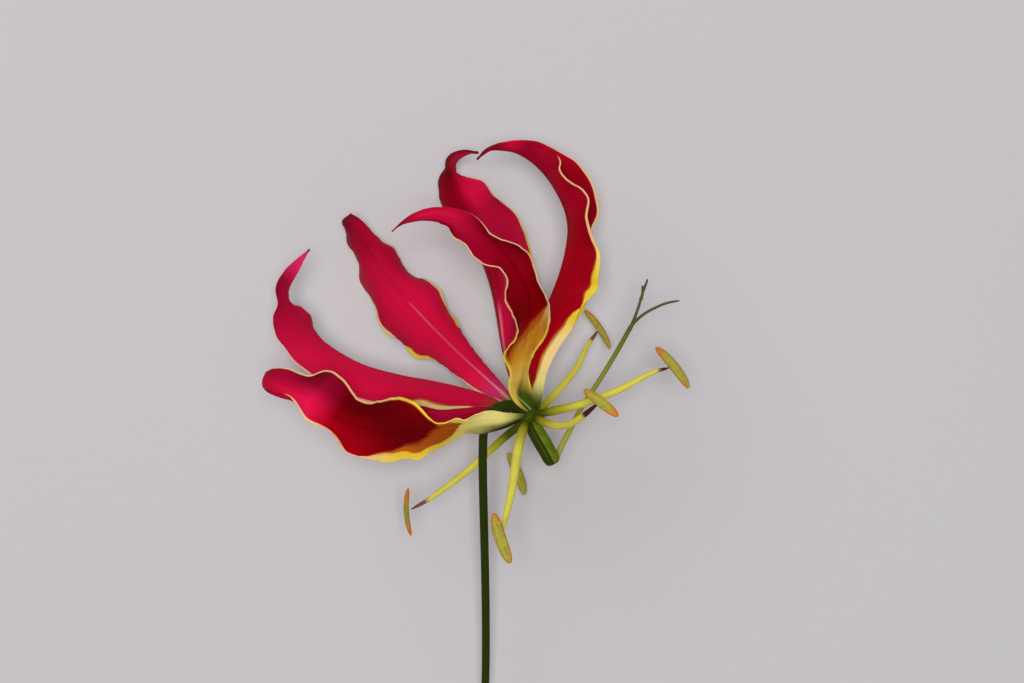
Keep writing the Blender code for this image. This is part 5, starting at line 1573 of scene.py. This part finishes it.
class FLOWER_OT_stem(bpy.types.Operator):
    """Make the stem with the receptacle at its top"""

    bl_idname = "flower.stem"
    bl_label = "Stem"

    def execute(self, context):
        look = context.scene.flower_stem
        top = (look.receptacle, RECEPTACLE_LENGTH)
        finish = stalk_finish("stem skin", top, look.stem, (look.cut, CUT_LENGTH))
        settings = {"Sides": look.sides, "Finish": finish}
        thing = stalk("round_stem", in_space(STEM_LINE), STEM_RADII, STEM_POINTS, settings, {})
        finish_piece(thing, "stem", "stem")
        return {"FINISHED"}


class FLOWER_OT_filaments(bpy.types.Operator):
    """Make the six filaments"""

    bl_idname = "flower.filaments"
    bl_label = "Filaments"

    def execute(self, context):
        look = context.scene.flower_filaments
        settings = {"Sides": look.sides, "Finish": filament_finish(look)}
        for number, stamen in STAMENS.items():
            name = "tapered_filament_%d" % number
            radii = filament_radii(stamen["girth"])
            marks = {label: stamen[label] for label in ("thread", "brown", "green")}
            thing = stalk(name, filament_line(stamen), radii, FILAMENT_POINTS, settings, marks)
            finish_piece(thing, "filament", "filament_%d" % number)
        return {"FINISHED"}


class FLOWER_OT_anthers(bpy.types.Operator):
    """Make the six anthers and the pollen on them"""

    bl_idname = "flower.anthers"
    bl_label = "Anthers"

    def execute(self, context):
        look = context.scene.flower_anthers
        tree = pollen_tree()
        wall = anther_finish(look)
        dust = pollen_finish(look)
        for number in STAMENS:
            anther = new_thing("lobed_anther_%d" % number, anther_mesh(number))
            anther.data.materials.append(wall)
            settings = {"Grain Radius": look.grain, "Density": look.density, "Finish": dust}
            settings["Seed"] = look.seed + number
            grains = new_thing("pollen_%d" % number, grown(anther, tree, settings))
            finish_piece(anther, "anther", "anther_%d" % number)
            finish_piece(grains, "anther")
        return {"FINISHED"}


class FLOWER_OT_ovary(bpy.types.Operator):
    """Make the three-celled ovary"""

    bl_idname = "flower.ovary"
    bl_label = "Ovary"

    def execute(self, context):
        mesh = ovary_mesh()
        mesh.materials.append(ovary_finish(context.scene.flower_ovary))
        finish_piece(new_thing("celled_ovary", mesh), "ovary", "ovary")
        return {"FINISHED"}


class FLOWER_OT_style(bpy.types.Operator):
    """Make the style and its three arms"""

    bl_idname = "flower.style"
    bl_label = "Style"

    def execute(self, context):
        look = context.scene.flower_stem
        root = (look.style_root, STYLE_FADE)
        skin = stalk_finish("style skin", root, look.style, (look.style, ARM_TIP))
        settings = {"Sides": look.sides, "Finish": skin}
        style = stalk("bent_style", in_space(STYLE_LINE), STYLE_RADII, STYLE_POINTS, settings, {})
        finish_piece(style, "style", "style")
        skin = stalk_finish("arm skin", (look.style, ARM_FADE), look.arm, (look.arm, ARM_TIP))
        settings = {"Sides": look.sides, "Finish": skin}
        for number, line in enumerate(STYLE_ARMS, 1):
            arm = stalk("style_arm_%d" % number, in_space(line), ARM_RADII, ARM_POINTS, settings, {})
            finish_piece(arm, "style")
        return {"FINISHED"}


def add_lamp(name, place, target, size, power):
    """A square soft lamp at a place, turned to a target."""
    lamp = bpy.data.lights.new(name, "AREA")
    lamp.shape = "SQUARE"
    lamp.size = size
    lamp.energy = power
    lamp.color = LAMP_COLOUR
    thing = new_thing(name, lamp)
    thing.location = place
    thing.rotation_euler = (Vector(target) - Vector(place)).to_track_quat("-Z", "Y").to_euler()


class FLOWER_OT_stage(bpy.types.Operator):
    """Make the floor, the lamps and the camera"""

    bl_idname = "flower.stage"
    bl_label = "Stage"

    def execute(self, context):
        look = context.scene.flower_stage
        scene = context.scene
        reach = FLOOR_REACH * MM
        corners = [(-reach, -reach, 0), (reach, -reach, 0), (reach, reach, 0), (-reach, reach, 0)]
        floor = new_thing("floor", new_mesh("floor", corners, [], [(0, 1, 2, 3)], {}))
        floor.data.materials.append(floor_finish(look))
        world = bpy.data.worlds.new("soft sky")
        world.use_nodes = True
        sky = world.node_tree.nodes["Background"]
        sky.inputs["Color"].default_value = SKY_COLOUR
        sky.inputs["Strength"].default_value = look.sky
        scene.world = world
        add_lamp(*FRONT_LAMP, look.front_power)
        add_lamp(*SIDE_LAMP, look.side_power)
        camera = bpy.data.cameras.new("camera")
        camera.sensor_width = CAMERA_SENSOR
        camera.lens = CAMERA_LENS
        camera.clip_start = CAMERA_CLIP * MM
        thing = new_thing("camera", camera)
        thing.location = Vector(CAMERA_PLACE) * MM
        scene.camera = thing
        scene.view_settings.view_transform = "Standard"
        return {"FINISHED"}


class FLOWER_PT_pieces(bpy.types.Panel):
    """The flower's pieces"""

    bl_label = "Flame Lily"
    bl_idname = "FLOWER_PT_pieces"
    bl_space_type = "VIEW_3D"
    bl_region_type = "UI"
    bl_category = "Flame Lily"

    def draw(self, context):
        layout = self.layout
        for operator, group in STEPS:
            layout.operator(operator.bl_idname)
            settings = getattr(context.scene, group)
            for name in settings.__annotations__:
                layout.prop(settings, name)


SETTINGS = {
    "flower_tepals": TepalSettings,
    "flower_stem": StemSettings,
    "flower_filaments": FilamentSettings,
    "flower_anthers": AntherSettings,
    "flower_ovary": OvarySettings,
    "flower_stage": StageSettings,
}
STEPS = [
    (FLOWER_OT_tepals, "flower_tepals"),
    (FLOWER_OT_stem, "flower_stem"),
    (FLOWER_OT_filaments, "flower_filaments"),
    (FLOWER_OT_anthers, "flower_anthers"),
    (FLOWER_OT_ovary, "flower_ovary"),
    (FLOWER_OT_style, "flower_stem"),
    (FLOWER_OT_stage, "flower_stage"),
]


def register():
    """Adds the settings, the operators and the panel to Blender."""
    for name, group in SETTINGS.items():
        bpy.utils.register_class(group)
        setattr(bpy.types.Scene, name, bpy.props.PointerProperty(type=group))
    for operator, group in STEPS:
        bpy.utils.register_class(operator)
    bpy.utils.register_class(FLOWER_PT_pieces)


def unregister():
    """Takes them out again."""
    bpy.utils.unregister_class(FLOWER_PT_pieces)
    for operator, group in reversed(STEPS):
        bpy.utils.unregister_class(operator)
    for name, group in reversed(SETTINGS.items()):
        delattr(bpy.types.Scene, name)
        bpy.utils.unregister_class(group)


def main():
    """Makes every piece in order."""
    register()
    bpy.ops.flower.tepals()
    bpy.ops.flower.stem()
    bpy.ops.flower.filaments()
    bpy.ops.flower.anthers()
    bpy.ops.flower.ovary()
    bpy.ops.flower.style()
    bpy.ops.flower.stage()


if __name__ == "__main__":
    main()
